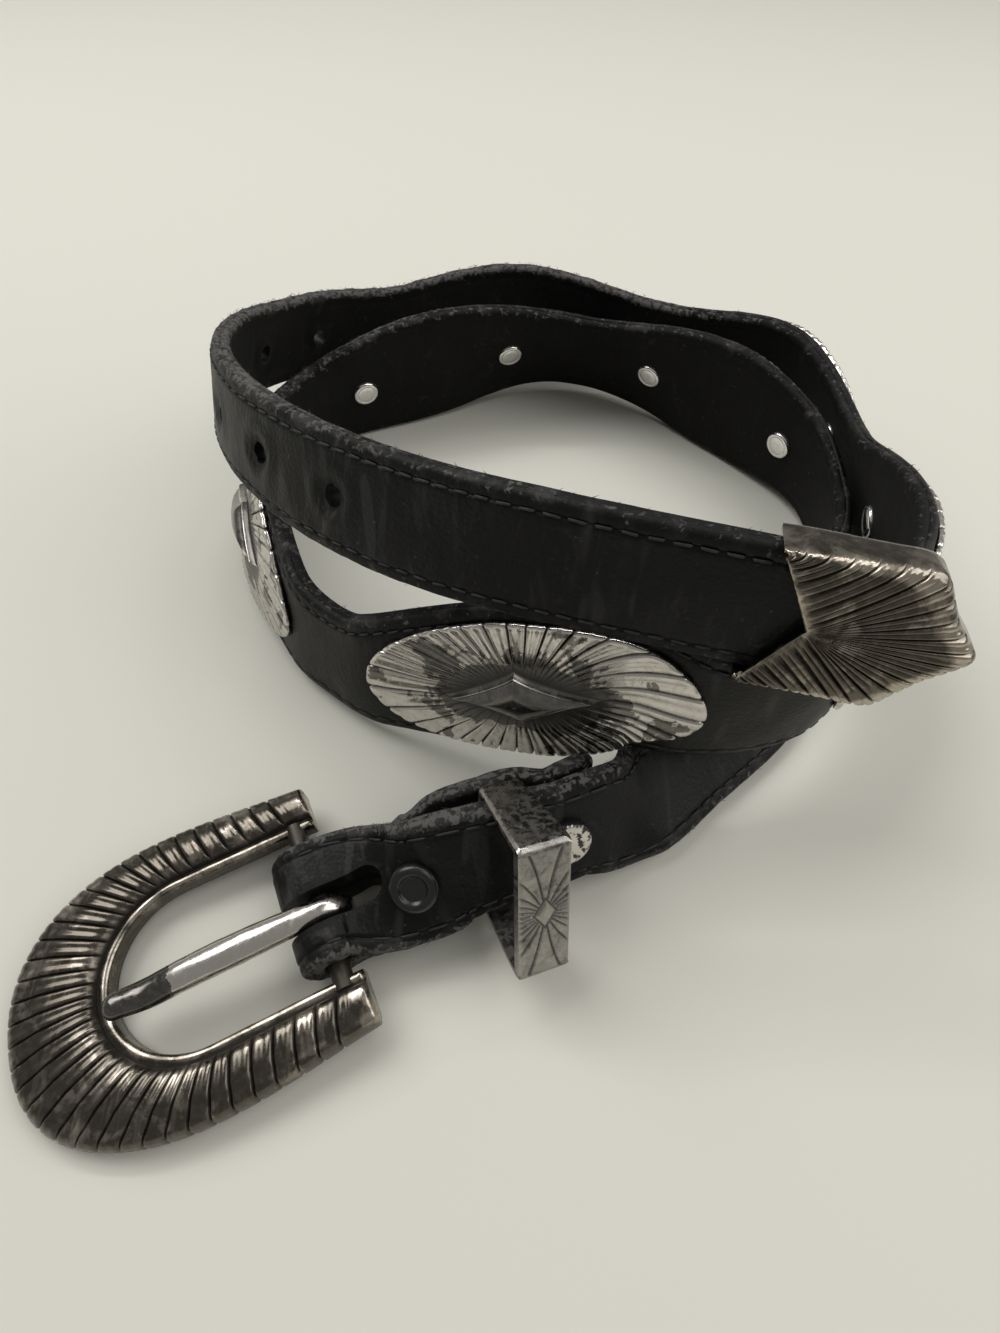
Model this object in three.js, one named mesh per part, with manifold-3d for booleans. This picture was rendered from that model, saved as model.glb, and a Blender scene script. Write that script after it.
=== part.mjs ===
// Leather concho belt, lying coiled on a table with its buckle end in front.
// Millimetres, +Z up. The origin is the middle of the belt's outline seen from above, on the table.
// The shapes are built round the middle of the coil and moved there at the end.
import * as THREE from 'three';
import { mergeVertices } from 'three/addons/utils/BufferGeometryUtils.js';
import Module from 'manifold-3d';

const wasm = await Module();
wasm.setup();

// Leather strap
const strapThickness = 3.6;
const endWidth = 19; // at the buckle and at the tip
const waistWidth = 23.5; // between two conchos
const conchoStrapWidth = 30; // under a concho
const edgeChamfer = 0.6;
const taperLength = 42; // from the last scallop to the narrow end
const coilRadius = 70;
const buckleEndLength = 184.5; // from the bar to the middle of the first concho

// Folded buckle end
const flapLength = 48;
const flapGap = 0.6; // between the two layers at the snaps
const flapBulge = 2.7; // more gap between the snaps, where the keeper's back wall passes
const flapLift = 1.2; // at its end
const foldLength = 13; // the fold closes over this length
const slotWidth = 5.6;
const slotReach = 9.5; // behind the bar

// Punched holes
const holeCount = 6;
const holeDiameter = 3.6;
const holePitch = 19.1;
const firstHoleToEnd = 67.5;

// Conchos
const conchoCount = 7;
const conchoPitch = 78;
const conchoLength = 58;
const conchoHeight = 28.6;
const conchoRise = 3.6;
const conchoSheet = 0.9;
const fluteCount = 32;
const fluteDepth = 0.8;
const bossLength = 24;
const bossHeight = 8.6;
const bossRise = 2.2;

// Rivets and snaps
const rivetSpacing = 38.8;
const rivetRadius = 3.1;
const rivetHeadRise = 0.8;
const snapRadius = 3.9;
const snapRise = 1.5;
const snapPlaces = [16.8, 41]; // behind the bar

// Tip
const tipLength = 28.6;
const tipWall = 0.8;
const tipNotch = 6.2;
const tipShoulder = 18; // from the wings to where the point begins
const tipFlare = 0.8;
const tipDome = 0.9;
const tipRibDepth = 0.5;
const tipPocket = 9;

// Keeper
const keeperPlace = 30.5; // behind the bar
const keeperWidth = 9; // at its face
const keeperBackWidth = 7;
const keeperWall = 1.1;
const keeperFace = 1.8;
const keeperDepth = 13.7; // inside, front to back
const keeperSlack = 2.4; // more than the strap's width, inside
const keeperYaw = 6; // degrees

// Buckle
const barRadius = 1.6;
const frameGap = 25; // between the arms
const frameWidth = 45;
const armEndWidth = 38.6;
const frameLength = 51.4;
const armBehindBar = 3;
const bowWidth = 15.4;
const frameShift = -2.3; // along the bar
const frameThickness = 4.8;
const ribCount = 46;
const ribDepth = 0.55;
const innerRim = 1.3;
const tongueRadius = 1.9;
const tongueCollar = 3.4; // width of its ring on the bar

const clearance = 0.3; // between pieces that touch
const rivetedGap = 0.6; // under the pieces fixed to the bent strap
const runningClearance = 0.4; // round the bar
const crossLean = 58; // lean of the strap end where the coil lies on it

const degrees = Math.PI / 180;
const crossHeight = endWidth * Math.cos(crossLean * degrees) +
  strapThickness * Math.sin(crossLean * degrees) + clearance;
const coilHeight = conchoStrapWidth;
const foldRadius = barRadius + runningClearance + strapThickness / 2;
const layerStep = strapThickness + flapGap;

// Where the strap stands, from the bar to the tip. across and back are shares of the coil's radius,
// onEnd and onCoil lift it by shares of the crossing's and the coil's height, and lean is the angle
// in degrees by which its upper edge tips inwards.
const stands = [
  { across: -0.63, back: -1.23, onEnd: 0.03, onCoil: 0.00, lean: 90 },
  { across: -0.56, back: -1.20, onEnd: 0.04, onCoil: 0.00, lean: 84 },
  { across: -0.44, back: -1.20, onEnd: 0.02, onCoil: 0.00, lean: 54 },
  { across: -0.29, back: -1.17, onEnd: 0.07, onCoil: 0.00, lean: 33 },
  { across: -0.07, back: -1.11, onEnd: 0.09, onCoil: 0.00, lean: 28 },
  { across: 0.07, back: -1.04, onEnd: 0.04, onCoil: 0.00, lean: 36 },
  { across: 0.15, back: -0.95, onEnd: 0.00, onCoil: 0.00, lean: crossLean - 2 },
  { across: 0.24, back: -0.87, onEnd: 0.00, onCoil: 0.00, lean: crossLean },
  { across: 0.34, back: -0.79, onEnd: 0.00, onCoil: 0.00, lean: crossLean },
  { across: 0.46, back: -0.69, onEnd: 0.00, onCoil: 0.00, lean: crossLean - 5 },
  { across: 0.61, back: -0.52, onEnd: 0.00, onCoil: 0.00, lean: 33 },
  { across: 0.71, back: -0.33, onEnd: 0.00, onCoil: 0.00, lean: 14 },
  { across: 0.78, back: -0.18, onEnd: 0.04, onCoil: 0.00, lean: 7 },
  { across: 0.80, back: -0.03, onEnd: 0.10, onCoil: 0.00, lean: 5 },
  { across: 0.78, back: 0.12, onEnd: 0.16, onCoil: 0.00, lean: 5 },
  { across: 0.72, back: 0.25, onEnd: 0.12, onCoil: 0.00, lean: 5 },
  { across: 0.51, back: 0.49, onEnd: 0.03, onCoil: 0.00, lean: 7 },
  { across: 0.18, back: 0.74, onEnd: 0.19, onCoil: 0.00, lean: 19 },
  { across: -0.08, back: 0.78, onEnd: 0.27, onCoil: 0.00, lean: 20 },
  { across: -0.48, back: 0.66, onEnd: 0.04, onCoil: 0.00, lean: 9 },
  { across: -0.79, back: 0.54, onEnd: 0.00, onCoil: 0.00, lean: 9 },
  { across: -0.90, back: 0.46, onEnd: 0.00, onCoil: 0.00, lean: 11 },
  { across: -0.98, back: 0.35, onEnd: 0.00, onCoil: 0.00, lean: 15 },
  { across: -1.00, back: 0.21, onEnd: 0.00, onCoil: 0.00, lean: 19 },
  { across: -0.94, back: -0.12, onEnd: 0.00, onCoil: 0.00, lean: 20 },
  { across: -0.78, back: -0.48, onEnd: 0.04, onCoil: 0.00, lean: 12 },
  { across: -0.66, back: -0.60, onEnd: 0.07, onCoil: 0.00, lean: 10 },
  { across: -0.54, back: -0.68, onEnd: 0.17, onCoil: 0.00, lean: 10 },
  { across: -0.15, back: -0.79, onEnd: 0.64, onCoil: 0.00, lean: 12 },
  { across: 0.06, back: -0.84, onEnd: 1.03, onCoil: 0.00, lean: 10 },
  { across: 0.20, back: -0.88, onEnd: 1.04, onCoil: 0.00, lean: 5 },
  { across: 0.34, back: -0.88, onEnd: 1.04, onCoil: 0.00, lean: 1 },
  { across: 0.47, back: -0.85, onEnd: 1.03, onCoil: 0.00, lean: -2 },
  { across: 0.58, back: -0.76, onEnd: 0.99, onCoil: 0.00, lean: -2 },
  { across: 0.67, back: -0.64, onEnd: 0.99, onCoil: 0.00, lean: 1 },
  { across: 0.74, back: -0.51, onEnd: 0.90, onCoil: 0.00, lean: 4 },
  { across: 0.79, back: -0.36, onEnd: 0.78, onCoil: 0.00, lean: 9 },
  { across: 0.83, back: -0.20, onEnd: 0.64, onCoil: 0.00, lean: 13 },
  { across: 0.86, back: -0.03, onEnd: 0.46, onCoil: 0.00, lean: 17 },
  { across: 0.89, back: 0.14, onEnd: 0.26, onCoil: 0.00, lean: 19 },
  { across: 0.90, back: 0.31, onEnd: 0.10, onCoil: 0.00, lean: 21 },
  { across: 0.88, back: 0.47, onEnd: 0.01, onCoil: 0.00, lean: 22 },
  { across: 0.83, back: 0.62, onEnd: 0.00, onCoil: 0.00, lean: 22 },
  { across: 0.73, back: 0.75, onEnd: 0.01, onCoil: 0.00, lean: 21 },
  { across: 0.60, back: 0.84, onEnd: 0.03, onCoil: 0.00, lean: 19 },
  { across: 0.36, back: 0.91, onEnd: 0.04, onCoil: 0.00, lean: 14 },
  { across: -0.07, back: 0.94, onEnd: 0.04, onCoil: 0.00, lean: 3 },
  { across: -0.47, back: 0.86, onEnd: 0.00, onCoil: 0.28, lean: 2 },
  { across: -0.80, back: 0.69, onEnd: 0.00, onCoil: 0.48, lean: 5 },
  { across: -0.95, back: 0.51, onEnd: 0.00, onCoil: 0.62, lean: 11 },
  { across: -1.02, back: 0.29, onEnd: 0.00, onCoil: 0.79, lean: 15 },
  { across: -0.99, back: 0.04, onEnd: 0.00, onCoil: 0.94, lean: 15 },
  { across: -0.86, back: -0.22, onEnd: 0.00, onCoil: 1.08, lean: 17 },
  { across: -0.66, back: -0.44, onEnd: 0.00, onCoil: 1.17, lean: 22 },
  { across: -0.40, back: -0.63, onEnd: 0.00, onCoil: 1.26, lean: 22 },
  { across: -0.12, back: -0.77, onEnd: 0.00, onCoil: 1.37, lean: 16 },
  { across: 0.28, back: -0.87, onEnd: 0.00, onCoil: 1.40, lean: 12 },
];

const leather = new THREE.MeshStandardMaterial({ color: 0x17181a, roughness: 0.62, metalness: 0 });
const wornSilver = new THREE.MeshStandardMaterial({ color: 0xa7a39b, roughness: 0.34, metalness: 1 });
const darkNickel = new THREE.MeshStandardMaterial({ color: 0x4c4843, roughness: 0.3, metalness: 1 });
const brightNickel = new THREE.MeshStandardMaterial({ color: 0xc9c8c4, roughness: 0.22, metalness: 1 });
const blackEnamel = new THREE.MeshStandardMaterial({ color: 0x101113, roughness: 0.25, metalness: 0 });

const smooth = (t) => {
  const k = Math.min(Math.max(t, 0), 1);
  return k * k * (3 - 2 * k);
};

// A smooth curve through rows of numbers, by the distance between their first two.
function smoothRows(rows) {
  const at = [0];
  for (let i = 1; i < rows.length; i++) {
    at.push(at[i - 1] + Math.hypot(rows[i][0] - rows[i - 1][0], rows[i][1] - rows[i - 1][1]));
  }
  const slope = (i, c) => {
    const a = Math.max(i - 1, 0);
    const b = Math.min(i + 1, rows.length - 1);
    return (rows[b][c] - rows[a][c]) / (at[b] - at[a]);
  };
  const value = (distance) => {
    let i = 0;
    while (i < rows.length - 2 && at[i + 1] < distance) i++;
    const h = at[i + 1] - at[i];
    const t = (distance - at[i]) / h;
    return rows[i].map((v, c) => {
      const rise = rows[i + 1][c] - v;
      const m0 = slope(i, c) * h;
      const m1 = slope(i + 1, c) * h;
      return v + t * (m0 + t * (3 * rise - 2 * m0 - m1 + t * (m0 + m1 - 2 * rise)));
    });
  };
  return { length: at[at.length - 1], value };
}

const conchoPlace = (i) => buckleEndLength + i * conchoPitch;
const lastConcho = conchoPlace(conchoCount - 1);

// Width of the strap at a distance from the bar: scalloped between the first and the last concho.
function strapWidth(s) {
  const wave = 0.5 + 0.5 * Math.cos((2 * Math.PI * (s - conchoPlace(0))) / conchoPitch);
  const before = smooth((conchoPlace(0) - s) / taperLength);
  const after = smooth((s - lastConcho) / taperLength);
  if (s < conchoPlace(0)) return THREE.MathUtils.lerp(conchoStrapWidth, endWidth, before);
  if (s > lastConcho) return THREE.MathUtils.lerp(conchoStrapWidth, endWidth, after);
  return THREE.MathUtils.lerp(waistWidth, conchoStrapWidth, wave);
}

// Distance of each layer from the route near the fold: round the bar at first, then closed.
const outerOffset = (s) => foldRadius * (1 - smooth(s / foldLength));
const flapOffset = (s) => {
  const bulge = flapBulge * smooth((s - snapPlaces[0]) / 7) * smooth((snapPlaces[1] - s) / 7);
  const end = flapLift * smooth((s - snapPlaces[1]) / (flapLength - snapPlaces[1]));
  return THREE.MathUtils.lerp(foldRadius, layerStep + bulge + end, smooth(s / foldLength));
};

// How far the leather reaches below its middle plane, more where the flap is under it.
const underside = (s) => {
  const flap = flapOffset(Math.min(s, flapLength)) * (1 - smooth((s - flapLength + 6) / 12));
  return strapThickness / 2 + flap;
};

// The middle line of the outer layer, one point a millimetre, with the directions along, up its width
// and out.
function strapRoute() {
  const rows = stands.map((row) => {
    const lift = row.onEnd * crossHeight + row.onCoil * coilHeight;
    return [row.across * coilRadius, row.back * coilRadius, lift, row.lean];
  });
  const curve = smoothRows(rows);
  const step = 1;
  const line = [];
  let travelled = 0;
  let last = null;
  for (let d = 0; d <= curve.length; d += step) {
    const [x, y, lift, lean] = curve.value(d);
    const tilt = lean * degrees;
    const height = (s) => {
      const standing = (strapWidth(s) / 2) * Math.cos(tilt);
      return lift + standing + underside(s) * Math.abs(Math.sin(tilt));
    };
    const here = new THREE.Vector3(x, y, height(travelled));
    if (last) {
      here.z = height(travelled + step);
      travelled += here.distanceTo(last);
    }
    line.push({ s: travelled, point: here, tilt });
    last = here;
  }
  line.forEach((station, i) => {
    const a = line[Math.max(i - 1, 0)].point;
    const b = line[Math.min(i + 1, line.length - 1)].point;
    station.along = b.clone().sub(a).normalize();
    const flat = new THREE.Vector3(station.along.y, -station.along.x, 0).normalize();
    const up = new THREE.Vector3(0, 0, Math.cos(station.tilt));
    up.addScaledVector(flat, -Math.sin(station.tilt));
    station.up = up.addScaledVector(station.along, -up.dot(station.along)).normalize();
    station.out = station.along.clone().cross(station.up).normalize();
  });
  return line;
}

const route = strapRoute();
const strapLength = route[route.length - 1].s;

// The point and directions of the route at a distance from the bar.
function stationAt(s) {
  let low = 0;
  let high = route.length - 1;
  while (high - low > 1) {
    const middle = (low + high) >> 1;
    if (route[middle].s < s) low = middle;
    else high = middle;
  }
  const a = route[low];
  const b = route[high];
  const t = (s - a.s) / (b.s - a.s);
  const mix = (key) => a[key].clone().lerp(b[key], t);
  const direction = (key) => mix(key).normalize();
  return { point: mix('point'), along: direction('along'), up: direction('up'), out: direction('out') };
}

// A point beside the route: s along it, across its width, and out from its middle plane.
function beside(s, across, out) {
  const inside = Math.min(Math.max(s, 0), strapLength);
  const st = stationAt(inside);
  const point = st.point.addScaledVector(st.along, s - inside);
  return point.addScaledVector(st.up, across).addScaledVector(st.out, out);
}

// A closed mesh from rings of points, each ring closed, with a fan over the first and the last.
function fromRings(rings) {
  const count = rings[0].length;
  const points = rings.flat();
  const faces = [];
  for (let r = 0; r + 1 < rings.length; r++) {
    for (let i = 0; i < count; i++) {
      const j = (i + 1) % count;
      const a = r * count + i;
      const b = r * count + j;
      faces.push(a, b, b + count, a, b + count, a + count);
    }
  }
  const capEnd = (start, flip) => {
    const centre = new THREE.Vector3();
    for (let i = 0; i < count; i++) centre.addScaledVector(points[start + i], 1 / count);
    points.push(centre);
    const c = points.length - 1;
    for (let i = 0; i < count; i++) {
      const j = (i + 1) % count;
      if (flip) faces.push(c, start + j, start + i);
      else faces.push(c, start + i, start + j);
    }
  };
  capEnd(0, true);
  capEnd((rings.length - 1) * count, false);
  return facing(points, faces);
}

// Geometry from points and faces, turned so that its faces point outwards.
function facing(points, faces) {
  let volume = 0;
  for (let i = 0; i < faces.length; i += 3) {
    const [a, b, c] = [points[faces[i]], points[faces[i + 1]], points[faces[i + 2]]];
    volume += a.dot(b.clone().cross(c));
  }
  const swap = [0, 1, -1];
  const turned = volume < 0 ? faces.map((_, i) => faces[i + swap[i % 3]]) : faces;
  const geometry = new THREE.BufferGeometry();
  const flat = points.flatMap((p) => [p.x, p.y, p.z]);
  geometry.setAttribute('position', new THREE.Float32BufferAttribute(flat, 3));
  geometry.setIndex(turned);
  return geometry;
}

// Turns a three.js geometry into a manifold solid and back.
function toSolid(geometry) {
  const bare = new THREE.BufferGeometry();
  bare.setAttribute('position', geometry.getAttribute('position').clone());
  if (geometry.index) bare.setIndex(geometry.index.clone());
  const merged = mergeVertices(bare, 1e-4);
  return new wasm.Manifold(new wasm.Mesh({
    numProp: 3,
    vertProperties: new Float32Array(merged.getAttribute('position').array),
    triVerts: new Uint32Array(merged.index.array),
  }));
}

function fromSolid(solid) {
  const mesh = solid.getMesh();
  const geometry = new THREE.BufferGeometry();
  geometry.setAttribute('position', new THREE.Float32BufferAttribute(mesh.vertProperties, 3));
  geometry.setIndex([...mesh.triVerts]);
  return geometry;
}

function cutAway(geometry, cutters) {
  let solid = toSolid(geometry);
  for (const cutter of cutters) solid = solid.subtract(toSolid(cutter));
  return fromSolid(solid);
}

// A many-sided rod between two points.
function rod(start, end, radius, sides) {
  const span = end.clone().sub(start);
  const geometry = new THREE.CylinderGeometry(radius, radius, span.length(), sides);
  const turn = new THREE.Quaternion();
  turn.setFromUnitVectors(new THREE.Vector3(0, 1, 0), span.clone().normalize());
  geometry.applyQuaternion(turn);
  const middle = start.clone().lerp(end, 0.5);
  geometry.translate(middle.x, middle.y, middle.z);
  return geometry;
}

// The leather's own middle line: along the flap to the bar, round it, and along the outer layer to the tip.
function leatherLine() {
  const line = [];
  const bendSpacing = 3;
  const spacing = 5.6;
  for (let s = flapLength; s > 0.5; s -= s > foldLength + 8 ? spacing : bendSpacing) {
    line.push({ at: beside(s, 0, -flapOffset(s)), s });
  }
  const bar = stationAt(0);
  const bendSteps = 8;
  for (let i = 0; i <= bendSteps; i++) {
    const turn = (i / bendSteps) * Math.PI;
    const at = bar.point.clone().addScaledVector(bar.out, -foldRadius * Math.cos(turn));
    line.push({ at: at.addScaledVector(bar.along, -foldRadius * Math.sin(turn)), s: 0 });
  }
  for (let s = bendSpacing; s < strapLength - 2; s += s < foldLength + 4 ? bendSpacing : spacing) {
    line.push({ at: beside(s, 0, outerOffset(s)), s });
  }
  line.push({ at: beside(strapLength, 0, 0), s: strapLength });
  line.push({ at: beside(strapLength + tipPocket - clearance, 0, 0), s: strapLength });
  return line;
}

// The strap's cross sections, each with chamfered corners.
function strapSections() {
  const line = leatherLine();
  return line.map((place, i) => {
    const a = line[Math.max(i - 1, 0)].at;
    const b = line[Math.min(i + 1, line.length - 1)].at;
    const up = stationAt(Math.min(place.s, strapLength)).up;
    const out = b.clone().sub(a).cross(up).normalize();
    const h = strapWidth(place.s) / 2;
    const t = strapThickness / 2;
    const c = edgeChamfer;
    const right = [[h, t - c], [h - c, t], [c - h, t], [-h, t - c]];
    const left = right.map(([v, n]) => [v, -n]).reverse();
    const corners = [...right, ...left];
    return corners.map(([v, n]) => place.at.clone().addScaledVector(up, v).addScaledVector(out, n));
  });
}

function strapGeometry() {
  const cutters = [];
  for (let i = 0; i < holeCount; i++) {
    const s = strapLength - firstHoleToEnd - i * holePitch;
    cutters.push(rod(beside(s, 0, -strapThickness), beside(s, 0, strapThickness), holeDiameter / 2, 10));
  }
  cutters.push(tongueSlot());
  return cutAway(fromRings(strapSections()), cutters);
}

// The long slot through the fold that the tongue swings in.
function tongueSlot() {
  const shape = new THREE.Shape();
  const half = slotWidth / 2;
  const front = foldRadius + strapThickness;
  shape.moveTo(front, -half);
  shape.lineTo(front, half);
  shape.lineTo(-(slotReach - half), half);
  shape.absarc(-(slotReach - half), 0, half, Math.PI / 2, 1.5 * Math.PI, false);
  const depth = 2 * (foldRadius + strapThickness);
  const geometry = new THREE.ExtrudeGeometry(shape, { depth, bevelEnabled: false, curveSegments: 6 });
  geometry.translate(0, 0, -depth / 2);
  return geometry.applyMatrix4(barMatrix());
}

// Directions at the bar: towards the bow, along the bar, and out of the face, tilted by an angle.
function barMatrix(angle = 0) {
  const bar = stationAt(0);
  const upright = new THREE.Vector3(0, 0, 1);
  const towardsBow = bar.along.clone().setZ(0).normalize().negate();
  const acrossBar = upright.clone().cross(towardsBow);
  const matrix = new THREE.Matrix4().makeBasis(towardsBow, acrossBar, upright).setPosition(bar.point);
  return matrix.multiply(new THREE.Matrix4().makeRotationY(angle));
}

// One concho, bent to the strap under it: fluted rays, a scalloped rim and a raised diamond.
function conchoGeometry(index) {
  const place = conchoPlace(index);
  const steps = fluteCount * 2;
  const base = strapThickness / 2 + rivetedGap;
  const plate = (turn, share, fluted) => {
    const valley = Math.cos(turn * fluteCount) < 0 ? 1 : 0;
    const rim = 1 - (valley * fluted * 0.35) / conchoHeight;
    const x = (conchoLength / 2) * share * rim * Math.cos(turn);
    const y = (conchoHeight / 2) * share * rim * Math.sin(turn);
    const dome = (conchoRise - conchoSheet) * (1 - share ** 2.2) * 0.62;
    return { x, y, h: conchoSheet + dome - valley * fluted * fluteDepth * (0.25 + 0.75 * share) };
  };
  const boss = (turn, share, h) => {
    const c = Math.abs(Math.cos(turn));
    const d = Math.abs(Math.sin(turn));
    const reach = share / (c ** 0.8 + d ** 0.8) ** 1.25;
    const x = (bossLength / 2) * reach * Math.cos(turn);
    return { x, y: (bossHeight / 2) * reach * Math.sin(turn), h };
  };
  const bend = (p) => beside(place + p.x, p.y, base + p.h);
  const ring = (count, point) => Array.from({ length: count }, (_, i) => {
    const shift = count < steps ? 0 : 0.5;
    return bend(point((2 * Math.PI * (i + shift)) / count));
  });
  const under = (share) => ring(steps / 4, (turn) => ({ ...plate(turn, share, 0), h: 0 }));
  const foot = conchoRise * 0.62;
  const rings = [
    under(0.26),
    under(0.52),
    under(0.77),
    ring(steps, (turn) => ({ ...plate(turn, 1, 1), h: 0 })),
    ring(steps, (turn) => plate(turn, 1, 0.7)),
    ring(steps, (turn) => plate(turn, 0.84, 1)),
    ring(steps / 2, (turn) => plate(turn, 0.52, 0.25)),
    ring(steps / 4, (turn) => boss(turn, 1.12, foot)),
    ring(steps / 4, (turn) => boss(turn, 0.6, foot + bossRise * 0.75)),
  ];
  return withPoles(rings, bend({ x: 0, y: 0, h: 0 }), bend({ x: 0, y: 0, h: foot + bossRise }));
}

// A closed mesh from rings of points, with a fan from a given point at each end. A ring may have
// several times as many points as the next one.
function withPoles(rings, firstPole, lastPole) {
  const points = [firstPole, ...rings.flat(), lastPole];
  const starts = rings.map((_, r) => 1 + rings.slice(0, r).flat().length);
  const faces = [];
  for (let r = 0; r + 1 < rings.length; r++) {
    const fine = rings[r].length >= rings[r + 1].length ? r : r + 1;
    const coarse = fine === r ? r + 1 : r;
    const add = (a, b, c) => faces.push(...(fine === r ? [a, b, c] : [a, c, b]));
    const many = rings[fine].length / rings[coarse].length;
    for (let j = 0; j < rings[coarse].length; j++) {
      const c = starts[coarse] + j;
      const next = starts[coarse] + ((j + 1) % rings[coarse].length);
      const at = (k) => starts[fine] + ((j * many + k) % rings[fine].length);
      for (let k = 0; k < many; k++) add(at(k), at(k + 1), c);
      add(at(many), next, c);
    }
  }
  const last = rings.length - 1;
  const fan = (pole, r) => rings[r].forEach((_, i) => {
    const here = starts[r] + i;
    const next = starts[r] + ((i + 1) % rings[r].length);
    faces.push(...(r === 0 ? [pole, next, here] : [pole, here, next]));
  });
  fan(0, 0);
  fan(points.length - 1, last);
  return facing(points, faces);
}

// A low round cap on a face of the strap, side 1 on the outer face and -1 on the inner.
function capGeometry(s, side, radius, rise, sides) {
  const base = strapThickness / 2 + rivetedGap;
  const profile = [[1, 0], [1, 0.45], [0.72, 0.9]];
  const rings = profile.map(([r, h]) => Array.from({ length: sides }, (_, i) => {
    const turn = (2 * Math.PI * i) / sides;
    return beside(s + radius * r * Math.cos(turn), radius * r * Math.sin(turn), side * (base + rise * h));
  }));
  return withPoles(rings, beside(s, 0, side * base), beside(s, 0, side * (base + rise)));
}

// The tip: a domed, ribbed cap with a notched inner edge, hollow where the strap goes in.
function tipGeometry() {
  const half = endWidth / 2 + clearance + tipWall;
  const thick = strapThickness / 2 + clearance + tipWall;
  const wide = half + tipFlare;
  const outline = [
    [tipNotch, 0], [0, half], [tipShoulder * 0.5, half + tipFlare * 0.6], [tipShoulder, wide],
    [tipLength - 4.5, 4.4], [tipLength - 0.8, 1.4], [tipLength, 0],
  ];
  const mirrored = outline.slice(1, -1).reverse().map(([u, v]) => [u, -v]);
  const corners = [...outline, ...mirrored];
  const edge = [];
  corners.forEach((corner, i) => {
    const next = corners[(i + 1) % corners.length];
    const pieces = Math.max(1, Math.round(Math.hypot(next[0] - corner[0], next[1] - corner[1]) / 2.1));
    for (let k = 0; k < pieces; k++) {
      edge.push([0, 1].map((c) => THREE.MathUtils.lerp(corner[c], next[c], k / pieces)));
    }
  });
  const heart = tipNotch + 3;
  const start = strapLength - tipNotch + heart;
  const ring = (share, out, ribbed) => edge.map(([u, v], i) => {
    const groove = ribbed * tipRibDepth * (i % 2);
    return beside(start + (u - heart) * share, v * share, out - groove);
  });
  const rings = [
    ring(0.97, -thick, 0),
    ring(1, -thick + 0.5, 0),
    ring(1, thick - 0.4, 0.4),
    ring(0.93, thick + tipDome * 0.5, 1),
    ring(0.5, thick + tipDome, 1),
  ];
  const body = withPoles(rings, beside(start, 0, -thick), beside(start, 0, thick + tipDome));
  return cutAway(body, [pocket()]);
}

// The space in the tip for the end of the strap.
function pocket() {
  const h = endWidth / 2 + clearance;
  const t = strapThickness / 2 + clearance;
  const rings = [-tipNotch - 4, 0, tipPocket * 0.5, tipPocket].map((u) =>
    [[h, t], [-h, t], [-h, -t], [h, -t]].map(([v, n]) => beside(strapLength + u, v, n)));
  return fromRings(rings);
}

// The keeper: a rectangular loop with a thicker face.
function keeperGeometry() {
  const st = stationAt(keeperPlace);
  const high = endWidth + keeperSlack;
  const turned = (keeperWidth / 2) * Math.sin(keeperYaw * degrees);
  const innerBack = -strapThickness / 2 - clearance - turned;
  const innerFront = innerBack + keeperDepth;
  const side = high / 2 + keeperWall;
  const outer = rectangle(-side, side, innerBack - keeperWall, innerFront + keeperFace, 1);
  outer.holes.push(rectangle(-high / 2, high / 2, innerBack, innerFront, 0.5));
  const options = { depth: keeperWidth, bevelEnabled: false, curveSegments: 3 };
  const geometry = new THREE.ExtrudeGeometry(outer, options);
  geometry.translate(0, 0, -keeperWidth / 2);
  const positions = geometry.getAttribute('position');
  for (let i = 0; i < positions.count; i++) {
    const share = (positions.getY(i) - innerBack) / keeperDepth;
    const taper = THREE.MathUtils.lerp(keeperBackWidth / keeperWidth, 1, smooth(share));
    positions.setZ(i, positions.getZ(i) * taper);
  }
  const matrix = new THREE.Matrix4().makeBasis(st.up, st.out, st.up.clone().cross(st.out));
  matrix.setPosition(st.point);
  const yaw = new THREE.Matrix4().makeRotationX(keeperYaw * degrees);
  return geometry.applyMatrix4(yaw.premultiply(matrix));
}

// A rectangle with rounded corners.
function rectangle(low, high, back, front, r) {
  const shape = new THREE.Shape();
  shape.moveTo(low + r, back);
  shape.lineTo(high - r, back);
  shape.quadraticCurveTo(high, back, high, back + r);
  shape.lineTo(high, front - r);
  shape.quadraticCurveTo(high, front, high - r, front);
  shape.lineTo(low + r, front);
  shape.quadraticCurveTo(low, front, low, front - r);
  shape.lineTo(low, back + r);
  shape.quadraticCurveTo(low, back, low + r, back);
  return shape;
}

// Inner and outer edge of the frame at a rib, turn 0 at the middle of the bow and 1 at an arm's end.
function framePair(turn) {
  const side = Math.sign(turn) || 1;
  const share = Math.abs(turn);
  const bowEnd = frameLength - armBehindBar;
  const innerReach = frameGap / 2 + 0.5;
  const innerCentre = bowEnd - bowWidth - innerReach;
  const outerReach = bowEnd - innerCentre;
  const bowShare = 0.58;
  if (share < bowShare) {
    const angle = (share / bowShare) * (Math.PI / 2);
    const across = side * (frameGap / 2) * Math.sin(angle);
    const inner = [innerCentre + innerReach * Math.cos(angle), across];
    const power = 2 / 2.3;
    const outer = [
      innerCentre + outerReach * Math.cos(angle) ** power,
      side * (frameWidth / 2) * Math.sin(angle) ** power,
    ];
    return { inner, outer };
  }
  const down = (share - bowShare) / (1 - bowShare);
  const u = innerCentre - down * (innerCentre + armBehindBar);
  const width = THREE.MathUtils.lerp(frameWidth, armEndWidth, smooth(down) * 0.5 + 0.5 * down * down);
  return { inner: [u, (side * frameGap) / 2], outer: [u, (side * width) / 2] };
}

// The angle that brings the bow down onto the table from the raised bar.
function frameAngle() {
  const bar = stationAt(0);
  const rest = bar.point.z - frameThickness / 2;
  return Math.asin(rest / (frameLength - armBehindBar));
}

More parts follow.
